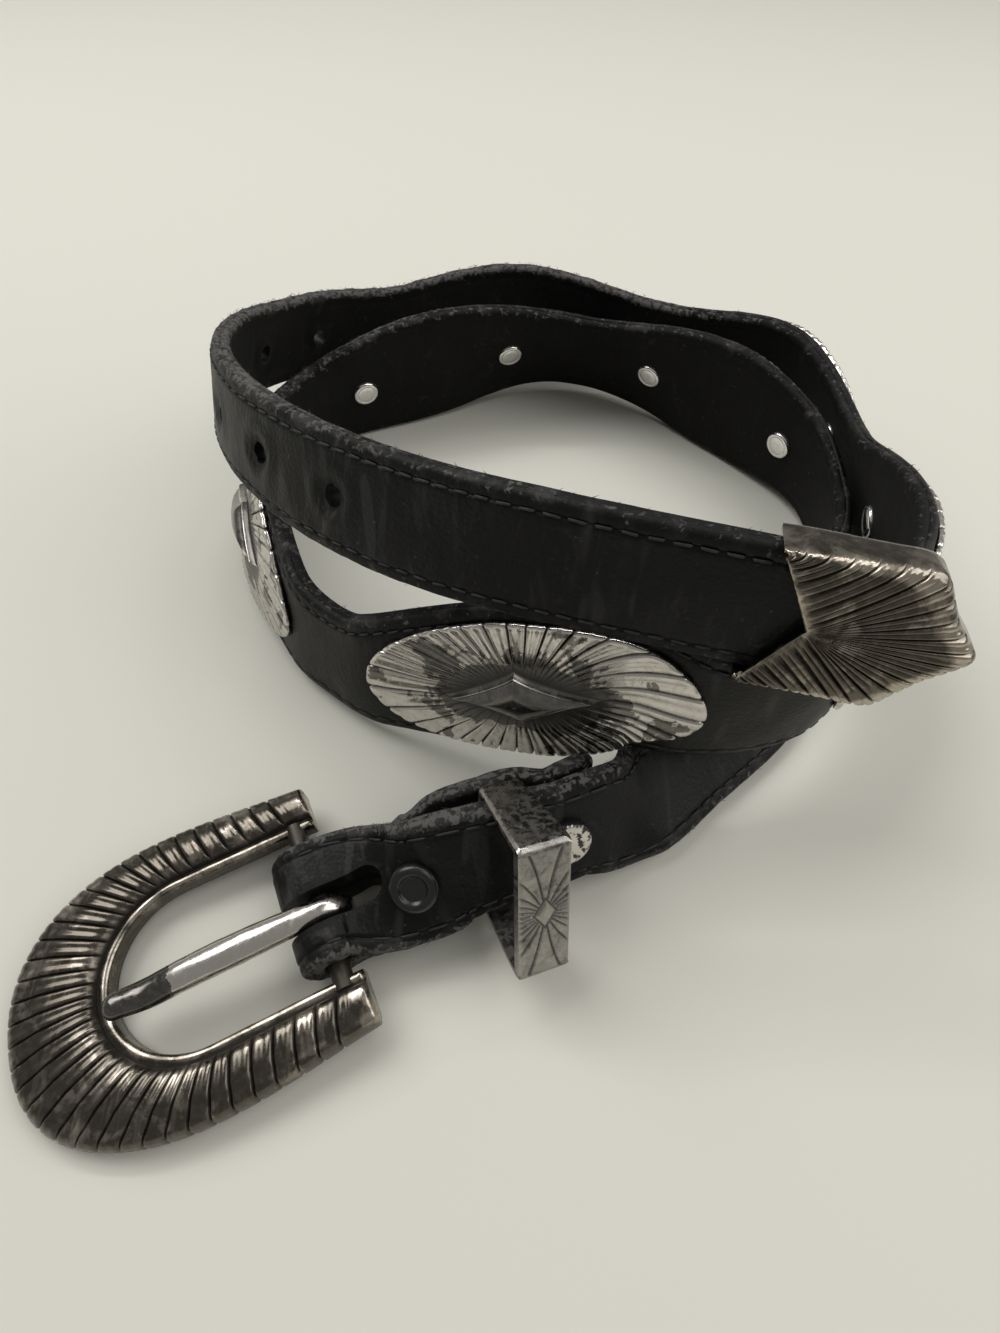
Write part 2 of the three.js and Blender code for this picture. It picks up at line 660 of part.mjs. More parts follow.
// The buckle's frame with its bar: a ribbed, domed horseshoe.
function frameGeometry() {
  const stations = ribCount * 2;
  const half = frameThickness / 2;
  const rings = [];
  for (let i = 0; i <= stations; i++) {
    const turn = -1 + (2 * i) / stations;
    const { inner, outer } = framePair(turn);
    const groove = i % 2 === 0 && i > 0 && i < stations ? ribDepth : 0;
    const span = [outer[0] - inner[0], outer[1] - inner[1]];
    const width = Math.hypot(...span);
    const at = (d, h) => {
      const share = d / width;
      return new THREE.Vector3(inner[0] + span[0] * share, inner[1] + span[1] * share, h);
    };
    rings.push([
      at(0, -half),
      at(0, half * 0.35),
      at(innerRim, half * 0.45),
      at(innerRim + 0.6, half * 0.9 - groove),
      at(width * 0.5, half - groove),
      at(width * 0.84, half * 0.62 - groove),
      at(width - groove * 0.6, -half * 0.1),
      at(width, -half),
    ]);
  }
  const barEnd = frameGap / 2 + 2;
  const start = new THREE.Vector3(0, -barEnd, 0);
  const bar = rod(start, new THREE.Vector3(0, barEnd, 0), barRadius, 12);
  const solid = toSolid(fromRings(rings)).add(toSolid(bar));
  const placed = barMatrix(frameAngle()).multiply(new THREE.Matrix4().makeTranslation(0, frameShift, 0));
  return fromSolid(solid).applyMatrix4(placed);
}

// The tongue: a ring on the bar and a bent rod that rests on the bow.
function tongueGeometry() {
  const ringRadius = barRadius + runningClearance;
  const reach = frameLength - armBehindBar - bowWidth + 2;
  const rest = frameThickness * 0.5 * 0.9 + clearance;
  const sides = 10;
  // Rows along the tongue: share of its reach, height of its middle above the bar, and radius as a share.
  const bends = [
    { share: 0.06, height: ringRadius + tongueRadius * 0.55, radius: 0.9 },
    { share: 0.2, height: 3.6, radius: 1 },
    { share: 0.42, height: 4.1, radius: 1 },
    { share: 0.66, height: 3.9, radius: 0.98 },
    { share: 0.84, height: 3.1, radius: 0.94 },
    { share: 0.95, height: rest + tongueRadius * 0.9, radius: 0.86 },
    { share: 1, height: rest + tongueRadius * 0.75, radius: 0.6 },
  ];
  const rings = bends.map((bend) => {
    const ring = [];
    for (let i = 0; i < sides; i++) {
      const turn = (2 * Math.PI * i) / sides;
      const r = tongueRadius * bend.radius;
      const height = bend.height + r * 0.85 * Math.sin(turn);
      ring.push(new THREE.Vector3(bend.share * reach, r * Math.cos(turn), height));
    }
    return ring;
  });
  const collar = new THREE.Shape();
  collar.absarc(0, 0, ringRadius + 1.4, 0, 2 * Math.PI, false);
  const bore = new THREE.Path();
  bore.absarc(0, 0, ringRadius, 0, 2 * Math.PI, true);
  collar.holes.push(bore);
  const options = { depth: tongueCollar, bevelEnabled: false, curveSegments: 16 };
  const band = new THREE.ExtrudeGeometry(collar, options);
  band.translate(0, 0, -tongueCollar / 2);
  band.rotateX(Math.PI / 2);
  const solid = toSolid(fromRings(rings)).add(toSolid(band));
  const hole = rod(new THREE.Vector3(0, -4, 0), new THREE.Vector3(0, 4, 0), ringRadius, 16);
  return fromSolid(solid.subtract(toSolid(hole))).applyMatrix4(barMatrix(frameAngle()));
}

const group = new THREE.Group();

function add(name, geometry, material) {
  const mesh = new THREE.Mesh(geometry, material);
  mesh.name = name;
  group.add(mesh);
}

function addRivet(name, s) {
  add(name, capGeometry(s, -1, rivetRadius, rivetHeadRise, 10), brightNickel);
}

add('strap', strapGeometry(), leather);
for (let i = 0; i < conchoCount; i++) {
  const name = `${i + 1}`;
  add(`concho_${name}`, conchoGeometry(i), wornSilver);
  addRivet(`rivet_${name}a`, conchoPlace(i) - rivetSpacing / 2);
  addRivet(`rivet_${name}b`, conchoPlace(i) + rivetSpacing / 2);
}
snapPlaces.forEach((s, i) => {
  add(`snap_${i + 1}`, capGeometry(s, 1, snapRadius, snapRise, 14), blackEnamel);
});
add('belt_tip', tipGeometry(), darkNickel);
add('keeper', keeperGeometry(), darkNickel);
add('buckle_frame', frameGeometry(), darkNickel);
add('buckle_tongue', tongueGeometry(), wornSilver);

// Moves every piece so that the middle of the belt's outline is over the origin.
const reach = new THREE.Box3().setFromObject(group);
const middle = reach.getCenter(new THREE.Vector3());
group.children.forEach((mesh) => {
  mesh.geometry.translate(-middle.x, -middle.y, -reach.min.z);
});

export default group;
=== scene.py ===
import bisect
import math
import random

import bpy
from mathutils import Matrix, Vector, noise


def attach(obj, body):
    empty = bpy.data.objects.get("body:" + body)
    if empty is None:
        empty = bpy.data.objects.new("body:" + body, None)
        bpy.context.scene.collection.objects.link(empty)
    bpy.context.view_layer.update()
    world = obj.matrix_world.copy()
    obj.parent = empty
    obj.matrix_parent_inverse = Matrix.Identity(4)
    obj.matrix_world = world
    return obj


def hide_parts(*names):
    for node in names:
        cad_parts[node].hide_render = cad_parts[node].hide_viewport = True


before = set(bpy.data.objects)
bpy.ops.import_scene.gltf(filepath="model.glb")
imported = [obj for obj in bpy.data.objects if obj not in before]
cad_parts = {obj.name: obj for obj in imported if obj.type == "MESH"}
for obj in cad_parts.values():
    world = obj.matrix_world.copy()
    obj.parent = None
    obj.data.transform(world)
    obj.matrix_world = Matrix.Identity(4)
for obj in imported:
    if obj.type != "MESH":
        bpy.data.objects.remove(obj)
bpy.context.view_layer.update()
print("belt: loaded", len(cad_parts), "pieces")

mm = 0.001
upright = Vector((0, 0, 1))
coilPlace = Vector((10.385, 22.343, 0))  # middle of the coil in the belt's own frame

# Leather strap. Places along it are counted from the buckle's bar.
strap = dict(
    thickness=3.6,
    endWidth=19.0,
    waistWidth=23.5,
    conchoWidth=30.0,
    taper=42.0,
    coilRadius=70.0,
    buckleEnd=184.5,  # from the bar to the middle of the first concho
    conchoCount=7,
    conchoPitch=78.0,
    intoTip=9.0,
    edgeRound=1.3,
    stitchInset=2.3,
    grooveDepth=0.3,
    stationStep=1.15,
)
# The end that is folded round the bar, with its two snaps and the slot for the tongue
fold = dict(
    bar=1.6, flap=48.0, gap=0.6, bulge=2.7, lift=1.2, closes=13.0, snaps=(16.8, 41.0), steps=20,
    slotWidth=5.2, slotReach=10.4, slotShift=1.4,
)
clearance = 0.3  # between pieces that only touch
running = 0.4  # between the bar and what turns on it
crossLean = 58.0  # degrees that the strap leans where its two ends cross

crossHeight = (strap["endWidth"] * math.cos(math.radians(crossLean))
               + strap["thickness"] * math.sin(math.radians(crossLean)) + clearance)
foldRadius = fold["bar"] + running + strap["thickness"] / 2
layerStep = strap["thickness"] + fold["gap"]

# Where the strap stands, from the bar to the tip: across and back in coil radii, how far it is lifted
# and how many degrees it leans. The first turns are lifted over the strap's own end, in heights of
# that crossing. The last ones lie on the coil, in widths of the strap.
lowTurns = [
    (-0.63, -1.23, 0.03, 90), (-0.56, -1.20, 0.04, 84), (-0.44, -1.20, 0.02, 54), (-0.29, -1.165, 0.07, 33),
    (-0.07, -1.085, 0.09, 28), (0.07, -1.02, 0.04, 36), (0.15, -0.95, 0.00, 56), (0.24, -0.87, 0.00, 58),
    (0.34, -0.79, 0.00, 58), (0.46, -0.69, 0.00, 53), (0.61, -0.52, 0.00, 33), (0.71, -0.33, 0.00, 14),
    (0.78, -0.18, 0.04, 7), (0.80, -0.03, 0.10, 5), (0.78, 0.12, 0.16, 5), (0.72, 0.25, 0.12, 5),
    (0.51, 0.49, 0.03, 7), (0.18, 0.74, 0.19, 19), (-0.08, 0.78, 0.27, 20), (-0.48, 0.66, 0.04, 9),
    (-0.79, 0.54, 0.00, 9), (-0.90, 0.46, 0.00, 11), (-0.98, 0.35, 0.00, 15), (-1.00, 0.21, 0.00, 19),
    (-0.94, -0.12, 0.00, 20), (-0.78, -0.48, 0.04, 12), (-0.66, -0.60, 0.07, 10), (-0.54, -0.68, 0.17, 10),
    (-0.15, -0.79, 0.64, 12), (0.06, -0.84, 1.03, 10), (0.20, -0.88, 1.04, 5), (0.34, -0.88, 1.04, 1),
    (0.47, -0.85, 1.03, -2), (0.58, -0.76, 0.99, -2), (0.67, -0.64, 0.99, 1), (0.74, -0.51, 0.90, 4),
    (0.79, -0.36, 0.78, 9), (0.83, -0.20, 0.64, 13), (0.86, -0.03, 0.46, 17), (0.89, 0.14, 0.26, 19),
    (0.90, 0.31, 0.10, 21), (0.88, 0.47, 0.01, 22), (0.83, 0.62, 0.00, 22), (0.73, 0.75, 0.01, 21),
    (0.60, 0.84, 0.03, 19), (0.36, 0.91, 0.04, 14), (-0.07, 0.94, 0.04, 3),
]
topTurn = [
    (-0.47, 0.86, 0.28, 2), (-0.80, 0.69, 0.48, 5), (-0.95, 0.51, 0.62, 11), (-1.02, 0.29, 0.79, 15),
    (-0.99, 0.04, 0.94, 15), (-0.86, -0.22, 1.08, 17), (-0.66, -0.44, 1.17, 22), (-0.40, -0.63, 1.26, 22),
    (-0.12, -0.77, 1.34, 16), (0.268, -0.88, 1.33, 12),
]


def smooth(t):
    k = min(max(t, 0.0), 1.0)
    return k * k * (3 - 2 * k)


def lerp(a, b, t):
    return a + (b - a) * t


def bump(distance, width):
    return math.exp(-((distance / width) ** 2))


def rough(x, y, z, scale):
    return noise.noise(Vector((x, y, z)) / scale)


# The curve that leaves a and reaches b with the given slopes
def curve(a, b, slopeA, slopeB, t):
    rise = b - a
    return a + t * (slopeA + t * (3 * rise - 2 * slopeA - slopeB + t * (slopeA + slopeB - 2 * rise)))


# The line that the strap follows: a smooth curve through the rows
def smoothRows(rows):
    at = [0.0]
    for a, b in zip(rows, rows[1:]):
        at.append(at[-1] + math.hypot(b[0] - a[0], b[1] - a[1]))

    def slope(i, c):
        a, b = max(i - 1, 0), min(i + 1, len(rows) - 1)
        return (rows[b][c] - rows[a][c]) / (at[b] - at[a])

    def value(distance):
        i = min(max(bisect.bisect_left(at, distance) - 1, 0), len(rows) - 2)
        h = at[i + 1] - at[i]
        t = (distance - at[i]) / h
        out = []
        out = []
        for c, v in enumerate(rows[i]):
            out.append(curve(v, rows[i + 1][c], slope(i, c) * h, slope(i + 1, c) * h, t))
        return out

    return at[-1], value


def conchoPlace(i):
    return strap["buckleEnd"] + i * strap["conchoPitch"]


def strapWidth(s):
    first, last = conchoPlace(0), conchoPlace(strap["conchoCount"] - 1)
    if first <= s <= last:
        wave = 0.5 + 0.5 * math.cos(2 * math.pi * (s - first) / strap["conchoPitch"])
        return lerp(strap["waistWidth"], strap["conchoWidth"], wave)
    return lerp(strap["conchoWidth"], strap["endWidth"], smooth(max(first - s, s - last) / strap["taper"]))


def outerOffset(s):
    return foldRadius * (1 - smooth(s / fold["closes"]))


def flapOffset(s):
    first, second = fold["snaps"]
    swell = fold["bulge"] * smooth((s - first) / 7) * smooth((second - s) / 7)
    end = fold["lift"] * smooth((s - second) / (fold["flap"] - second))
    return lerp(foldRadius, layerStep + swell + end, smooth(s / fold["closes"]))


def underside(s):
    flap = flapOffset(min(s, fold["flap"])) * (1 - smooth((s - fold["flap"] + 6) / 12))
    return strap["thickness"] / 2 + flap


def strapRoute():
    radius = strap["coilRadius"]
    rows = [(x * radius, y * radius, lift * step, lean)
            for turns, step in ((lowTurns, crossHeight), (topTurn, strap["conchoWidth"]))
            for x, y, lift, lean in turns]
    length, value = smoothRows(rows)
    line = []
    travelled = 0.0
    last = None
    for d in range(int(length) + 1):
        x, y, lift, lean = value(d)
        tilt = math.radians(lean)

        def height(s):
            return lift + strapWidth(s) / 2 * math.cos(tilt) + underside(s) * abs(math.sin(tilt))

        here = Vector((x, y, height(travelled)))
        if last is not None:
            here.z = height(travelled + 1)
            travelled += (here - last).length
        line.append(dict(s=travelled, point=here, tilt=tilt))
        last = here
    for i, station in enumerate(line):
        a = line[max(i - 1, 0)]["point"]
        b = line[min(i + 1, len(line) - 1)]["point"]
        along = (b - a).normalized()
        flat = Vector((along.y, -along.x, 0)).normalized()
        up = upright * math.cos(station["tilt"]) - flat * math.sin(station["tilt"])
        up = (up - along * up.dot(along)).normalized()
        station.update(along=along, up=up, out=along.cross(up).normalized())
    return line


route = strapRoute()
routePlaces = [station["s"] for station in route]
strapLength = routePlaces[-1]


def stationAt(s):
    i = min(max(bisect.bisect_left(routePlaces, s) - 1, 0), len(route) - 2)
    a, b = route[i], route[i + 1]
    t = (s - a["s"]) / (b["s"] - a["s"])
    mix = {key: a[key].lerp(b[key], t) for key in ("point", "along", "up", "out")}
    for key in ("along", "up", "out"):
        mix[key].normalize()
    return mix


def beside(s, across, out):
    inside = min(max(s, 0.0), strapLength)
    st = stationAt(inside)
    return st["point"] + st["along"] * (s - inside) + st["up"] * across + st["out"] * out


barStation = stationAt(0)
towardsBow = -Vector((barStation["along"].x, barStation["along"].y, 0)).normalized()
alongBar = upright.cross(towardsBow)


# Meshes
def addObject(name, data):
    added = bpy.data.objects.new(name, data)
    bpy.context.scene.collection.objects.link(added)
    return added


def newMesh(name, points, faces, marks):
    mesh = bpy.data.meshes.new(name)
    mesh.from_pydata([(p + coilPlace) * mm for p in points], [], faces)
    for key, values in marks.items():
        mesh.attributes.new(key, "FLOAT", "POINT").data.foreach_set("value", values)
    return mesh


def smoothShade(mesh, sharp):
    mesh.polygons.foreach_set("use_smooth", [True] * len(mesh.polygons))
    mesh.set_sharp_from_angle(angle=math.radians(sharp))


def makePiece(name, points, faces, material, node, marks, sharp, body="belt"):
    mesh = newMesh(name, points, faces, marks)
    piece = addObject(name, mesh)
    mesh.materials.append(material)
    mesh.validate()
    faceOut(mesh)
    smoothShade(mesh, sharp)
    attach(piece, body)
    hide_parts(node)
    return piece


def faceOut(mesh):
    volume = 0.0
    for polygon in mesh.polygons:
        corners = [mesh.vertices[i].co for i in polygon.vertices]
        for b, c in zip(corners[1:], corners[2:]):
            volume += corners[0].dot(b.cross(c))
    if volume < 0:
        mesh.flip_normals()


def note(marks, *values):
    for key, value in zip(marks, values):
        marks[key].append(value)


def gridFaces(rows, columns, closeRows=False, closeColumns=False):
    faces = []
    for r in range(rows if closeRows else rows - 1):
        for c in range(columns if closeColumns else columns - 1):
            r2, c2 = (r + 1) % rows, (c + 1) % columns
            faces.append((r * columns + c, r * columns + c2, r2 * columns + c2, r2 * columns + c))
    return faces


# A fan of faces over the first and the last ring, with the marks of its middle
def closeEnds(points, faces, columns, marks, **middle):
    for first in (0, len(points) - columns):
        ring = list(range(first, first + columns))
        points.append(sum((points[i] for i in ring), Vector()) / columns)
        last = len(points) - 1
        for a, b in zip(ring, ring[1:] + ring[:1]):
            faces.append((last, a, b) if first else (last, b, a))
        for key in marks:
            marks[key].append(middle.get(key, marks[key][first]))


def prismFaces(sides):
    sideFaces = gridFaces(2, sides, closeColumns=True)
    return sideFaces + [tuple(range(sides - 1, -1, -1)), tuple(range(sides, 2 * sides))]


def shifted(faces, start):
    return [tuple(start + i for i in face) for face in faces]


# Shaders
def newMaterial(name):
    material = bpy.data.materials.new(name)
    material.use_nodes = True
    tree = material.node_tree
    tree.nodes.clear()
    out = tree.nodes.new("ShaderNodeOutputMaterial")
    shader = tree.nodes.new("ShaderNodeBsdfPrincipled")
    tree.links.new(shader.outputs["BSDF"], out.inputs["Surface"])
    return material, tree, shader


def setInput(tree, socket, value):
    if isinstance(value, bpy.types.NodeSocket):
        tree.links.new(value, socket)
    else:
        socket.default_value = value


def put(tree, kind, inputs=None, **settings):
    node = tree.nodes.new(kind)
    for key, value in settings.items():
        setattr(node, key, value)
    for key, value in (inputs or {}).items():
        setInput(tree, node.inputs[key], value)
    return node


def calculate(tree, operation, a, b, clamp=False):
    return put(tree, "ShaderNodeMath", {0: a, 1: b}, operation=operation, use_clamp=clamp).outputs[0]


def times(tree, a, b, clamp=False):
    return calculate(tree, "MULTIPLY", a, b, clamp)


def plus(tree, a, b, clamp=False):
    return calculate(tree, "ADD", a, b, clamp)


def ramp(tree, value, low, high, fromLow=0.0, fromHigh=1.0):
    inputs = {"Value": value, "From Min": fromLow, "From Max": fromHigh, "To Min": low, "To Max": high}
    return put(tree, "ShaderNodeMapRange", inputs, interpolation_type="SMOOTHSTEP").outputs["Result"]


def mixColour(tree, factor, a, b):
    return put(tree, "ShaderNodeMix", {0: factor, 6: a, 7: b}, data_type="RGBA").outputs[2]


# Lays a second colour over the first where the mask is, as strongly as share says
def over(tree, colour, top, mask, share):
    return mixColour(tree, times(tree, mask, share), colour, top)


def mark(tree, name):
    return put(tree, "ShaderNodeAttribute", attribute_name=name).outputs["Fac"]


def objectPlace(tree):
    return put(tree, "ShaderNodeTexCoord").outputs["Object"]


def noiseValue(tree, scale, detail, place=None, **more):
    place = objectPlace(tree) if place is None else place
    inputs = {"Vector": place, "Scale": scale, "Detail": detail, **more}
    return put(tree, "ShaderNodeTexNoise", inputs).outputs["Fac"]


def grey(value, warm=0.0):
    return (value * (1 + warm), value, value * (1 - 1.4 * warm), 1)


def relief(tree, height, strength, distance):
    inputs = {"Height": height, "Strength": strength, "Distance": distance}
    return put(tree, "ShaderNodeBump", inputs).outputs[0]


def feed(tree, shader, values):
    for key, value in values.items():
        setInput(tree, shader.inputs[key], value)


def useGroup(tree, group, **inputs):
    node = tree.nodes.new("ShaderNodeGroup")
    node.node_tree = group
    for key, value in inputs.items():
        setInput(tree, node.inputs[key], value)
    return node.outputs


def newGroup(name, inputs, outputs):
    group = bpy.data.node_groups.new(name, "ShaderNodeTree")
    for key, value in inputs.items():
        socket = group.interface.new_socket(key, in_out="INPUT", socket_type="NodeSocketFloat")
        socket.default_value = value
    for key in outputs:
        group.interface.new_socket(key, in_out="OUTPUT", socket_type="NodeSocketFloat")
    return group, group.nodes.new("NodeGroupInput").outputs, group.nodes.new("NodeGroupOutput").inputs


# Patches with ragged edges, where plating or dye has gone. Amount is the share that is gone.
def patchGroup():
    group, given, out = newGroup("raggedPatches", dict(Scale=300.0, Amount=0.5, Sharp=0.06), ["Mask"])
    big = noiseValue(group, given["Scale"], 6.0, Roughness=0.62, Distortion=0.5)
    gone = calculate(group, "SUBTRACT", given["Amount"], ramp(group, big, 0.0, 1.0, 0.25, 0.75))
    soft = calculate(group, "DIVIDE", gone, given["Sharp"])
    group.links.new(plus(group, soft, 0.5, clamp=True), out["Mask"])
    return group


# Fine scratches in three directions
def scratchGroup():
    group, given, out = newGroup("fineScratches", dict(Scale=900.0), ["Mask"])
    masks = []
    for turn, stretch in ((0.4, (1, 0.06, 0.2)), (1.7, (1, 0.05, 0.3)), (2.6, (1, 0.09, 0.15))):
        mapping = put(group, "ShaderNodeMapping", {"Vector": objectPlace(group), "Scale": stretch,
                                                   "Rotation": (turn, turn * 0.7, turn)})
        fine = noiseValue(group, given["Scale"], 1.0, mapping.outputs[0])
        masks.append(ramp(group, fine, 0.0, 1.0, 0.66, 0.74))
    most = calculate(group, "MAXIMUM", calculate(group, "MAXIMUM", masks[0], masks[1]), masks[2])
    group.links.new(most, out["Mask"])
    return group


# Leather grain: fine pebbles and pores with soft wrinkles across the strap
def grainGroup():
    group, given, out = newGroup("leatherGrain", dict(Along=0.0, Across=0.0), ["Height", "Crease"])
    pebble = put(group, "ShaderNodeTexVoronoi", {"Vector": objectPlace(group), "Scale": 1500.0})
    fine = noiseValue(group, 700.0, 5.0)
    stretched = {"X": given["Along"], "Y": times(group, given["Across"], 0.22)}
    strip = put(group, "ShaderNodeCombineXYZ", stretched)
    wrinkle = noiseValue(group, 0.4, 6.0, strip.outputs[0], Roughness=0.6, Distortion=0.35)
    pebbles = plus(group, times(group, pebble.outputs["Distance"], 0.35), times(group, fine, 0.4))
    group.links.new(plus(group, pebbles, times(group, wrinkle, 0.9)), out["Height"])
    group.links.new(ramp(group, wrinkle, 0.0, 1.0, 0.52, 0.68), out["Crease"])
    return group


raggedPatches = patchGroup()
fineScratches = scratchGroup()
leatherGrain = grainGroup()


leatherLook = dict(
    black=0.0022, worn=0.12, edge=0.034, inside=0.004, insideDust=0.012, shine=0.2, relief=0.35, depth=0.0004,
)


def leatherMaterial():
    material, tree, shader = newMaterial("blackLeather")
    names = ("edge", "inner", "wear", "along", "across")
    edge, inner, wear, along, across = [mark(tree, name) for name in names]
    black, worn = leatherLook["black"], grey(leatherLook["worn"], 0.03)
    grain = useGroup(tree, leatherGrain, Along=along, Across=across)
    rubbed = useGroup(tree, raggedPatches, Scale=190.0, Amount=times(tree, edge, 0.85), Sharp=0.3)["Mask"]
    specks = useGroup(tree, raggedPatches, Scale=900.0, Amount=times(tree, edge, 0.6), Sharp=0.2)["Mask"]
    scuffs = useGroup(tree, fineScratches, Scale=260.0)["Mask"]
    # Lighter grey in the wrinkles, as strong as the wear mark: real worn creases, and partly a painted sheen
    # on the coil's left bend
    creasesAndSheen = times(tree, grain["Crease"], wear, clamp=True)
    bigTone = noiseValue(tree, 60.0, 4.0)
    face = mixColour(tree, ramp(tree, bigTone, 0.0, 1.0, 0.35, 0.75), grey(black), grey(black * 1.9, 0.02))
    face = over(tree, face, grey(leatherLook["worn"]), scuffs, 0.12)
    face = over(tree, face, worn, creasesAndSheen, 0.28)
    dust = grey(leatherLook["insideDust"], 0.06)
    inside = over(tree, grey(leatherLook["inside"], 0.04), dust, grain["Crease"], 0.3)
    colour = mixColour(tree, inner, face, inside)
    colour = over(tree, colour, grey(leatherLook["edge"], 0.03), rubbed, 0.75)
    colour = over(tree, colour, worn, specks, 0.7)
    dull = plus(tree, times(tree, inner, 0.3), times(tree, edge, 0.25))
    dull = plus(tree, plus(tree, dull, times(tree, bigTone, 0.25)), 0.33, clamp=True)
    ragged = noiseValue(tree, 1100.0, 6.0, Roughness=0.7)
    height = plus(tree, grain["Height"], times(tree, ragged, times(tree, edge, 2.2)))
    feed(tree, shader, {"Base Color": colour, "Roughness": dull, "Specular IOR Level": leatherLook["shine"],
                        "Normal": relief(tree, height, leatherLook["relief"], leatherLook["depth"])})
    return material


def threadMaterial():
    material, tree, shader = newMaterial("waxedThread")
    twist = noiseValue(tree, 1800.0, 3.0)
    colour = mixColour(tree, ramp(tree, twist, 0.0, 1.0, 0.4, 0.7), grey(0.006), grey(0.02))
    feed(tree, shader, {"Base Color": colour, "Roughness": ramp(tree, twist, 0.5, 0.75),
                        "Normal": relief(tree, twist, 0.4, 0.0002)})
    return material


# Plated metal: bright where it is rubbed, dark where it is tarnished, black in its grooves. The mark called
# shine says how far a place on the mesh is rubbed.
def metalMaterial(name, bright, dark, patchScale, rubbed=0.5, sharp=0.08, roughness=(0.16, 0.34), warm=0.06,
                  mottled=0.2, scratched=0.1):
    material, tree, shader = newMaterial(name)
    shine, cut = mark(tree, "shine"), mark(tree, "groove")
    patches = useGroup(tree, raggedPatches, Scale=patchScale, Sharp=sharp,
                       Amount=plus(tree, shine, rubbed - 0.5))["Mask"]
    clouds = useGroup(tree, raggedPatches, Scale=patchScale * 3.1, Sharp=0.5, Amount=0.5)["Mask"]
    scratches = useGroup(tree, fineScratches, Scale=700.0)["Mask"]
    darkTone = over(tree, grey(dark, warm), grey(dark * 2.6, warm * 0.5), clouds, mottled)
    brightTone = over(tree, grey(bright, warm * 0.7), grey(bright * 0.72, warm * 1.6), clouds, 0.3)
    colour = mixColour(tree, patches, darkTone, brightTone)
    colour = over(tree, colour, grey(bright, warm), scratches, scratched)
    colour = mixColour(tree, cut, colour, grey(0.012, warm))
    dull = plus(tree, ramp(tree, clouds, *roughness), times(tree, cut, 0.35))
    dents, pits = noiseValue(tree, 160.0, 1.0), noiseValue(tree, 1300.0, 3.0)
    height = plus(tree, plus(tree, dents, times(tree, pits, 0.04)), times(tree, patches, 0.05))
    bare = calculate(tree, "SUBTRACT", 1.0, times(tree, cut, 0.45))
    feed(tree, shader, {"Base Color": colour, "Metallic": bare,
                        "Roughness": plus(tree, dull, times(tree, scratches, 0.1)),
                        "Normal": relief(tree, height, 0.2, 0.0006)})
    return material


def enamelMaterial():
    material, tree, shader = newMaterial("blackEnamel")
    chip = mark(tree, "chip")
    haze = noiseValue(tree, 500.0, 4.0)
    feed(tree, shader, {"Base Color": mixColour(tree, chip, grey(0.008), grey(0.62, 0.05)), "Metallic": chip,
                        "Roughness": ramp(tree, haze, 0.16, 0.4), "Normal": relief(tree, haze, 0.12, 0.0003)})
    return material


blackLeather = leatherMaterial()
waxedThread = threadMaterial()
conchoSilver = metalMaterial("conchoSilver", 0.6, 0.15, 150.0, sharp=0.04, roughness=(0.17, 0.28),
                             scratched=0.04)
rivetNickel = metalMaterial("rivetNickel", 0.86, 0.5, 500.0, rubbed=0.9, roughness=(0.1, 0.24), warm=0.02)
buckleNickel = metalMaterial("buckleNickel", 0.42, 0.085, 200.0, rubbed=0.2, sharp=0.5, roughness=(0.2, 0.3),
                             warm=0.13)
tipNickel = metalMaterial("tipNickel", 0.42, 0.09, 200.0, rubbed=0.3, sharp=0.5, roughness=(0.16, 0.28),
                          warm=0.15)
keeperNickel = metalMaterial("keeperNickel", 0.34, 0.13, 300.0, sharp=0.6, roughness=(0.22, 0.42),
                             mottled=0.8)
tongueSilver = metalMaterial("tongueSilver", 0.62, 0.11, 420.0, roughness=(0.15, 0.27))
blackEnamel = enamelMaterial()
print("belt: leather, thread and metals ready")


# Strap
holes = dict(count=6, diameter=3.6, pitch=19.1, toEnd=64.5, sides=28)


def leatherLine():
    line = []
    s = fold["flap"]
    while s > 0.6:
        line.append(dict(at=beside(s, 0, -flapOffset(s)), s=s, flap=1))
        s -= strap["stationStep"]
    for i in range(fold["steps"] + 1):
        turn = i / fold["steps"] * math.pi
        at = (barStation["point"] - barStation["out"] * foldRadius * math.cos(turn)
              - barStation["along"] * foldRadius * math.sin(turn))
        line.append(dict(at=at, s=0, flap=0.5))
    s = strap["stationStep"]
    end = strapLength + strap["intoTip"] - clearance
    while s < end:
        line.append(dict(at=beside(s, 0, outerOffset(s)), s=s, flap=0))
        s += strap["stationStep"]
    line.append(dict(at=beside(end, 0, 0), s=end, flap=0))
    gone = 0.0
    for i, row in enumerate(line):
        a, b = line[max(i - 1, 0)]["at"], line[min(i + 1, len(line) - 1)]["at"]
        row["up"] = stationAt(min(row["s"], strapLength))["up"]
        row["out"] = (b - a).cross(row["up"]).normalized()
        if i:
            gone += (row["at"] - a).length
        row["along"] = gone
    return line


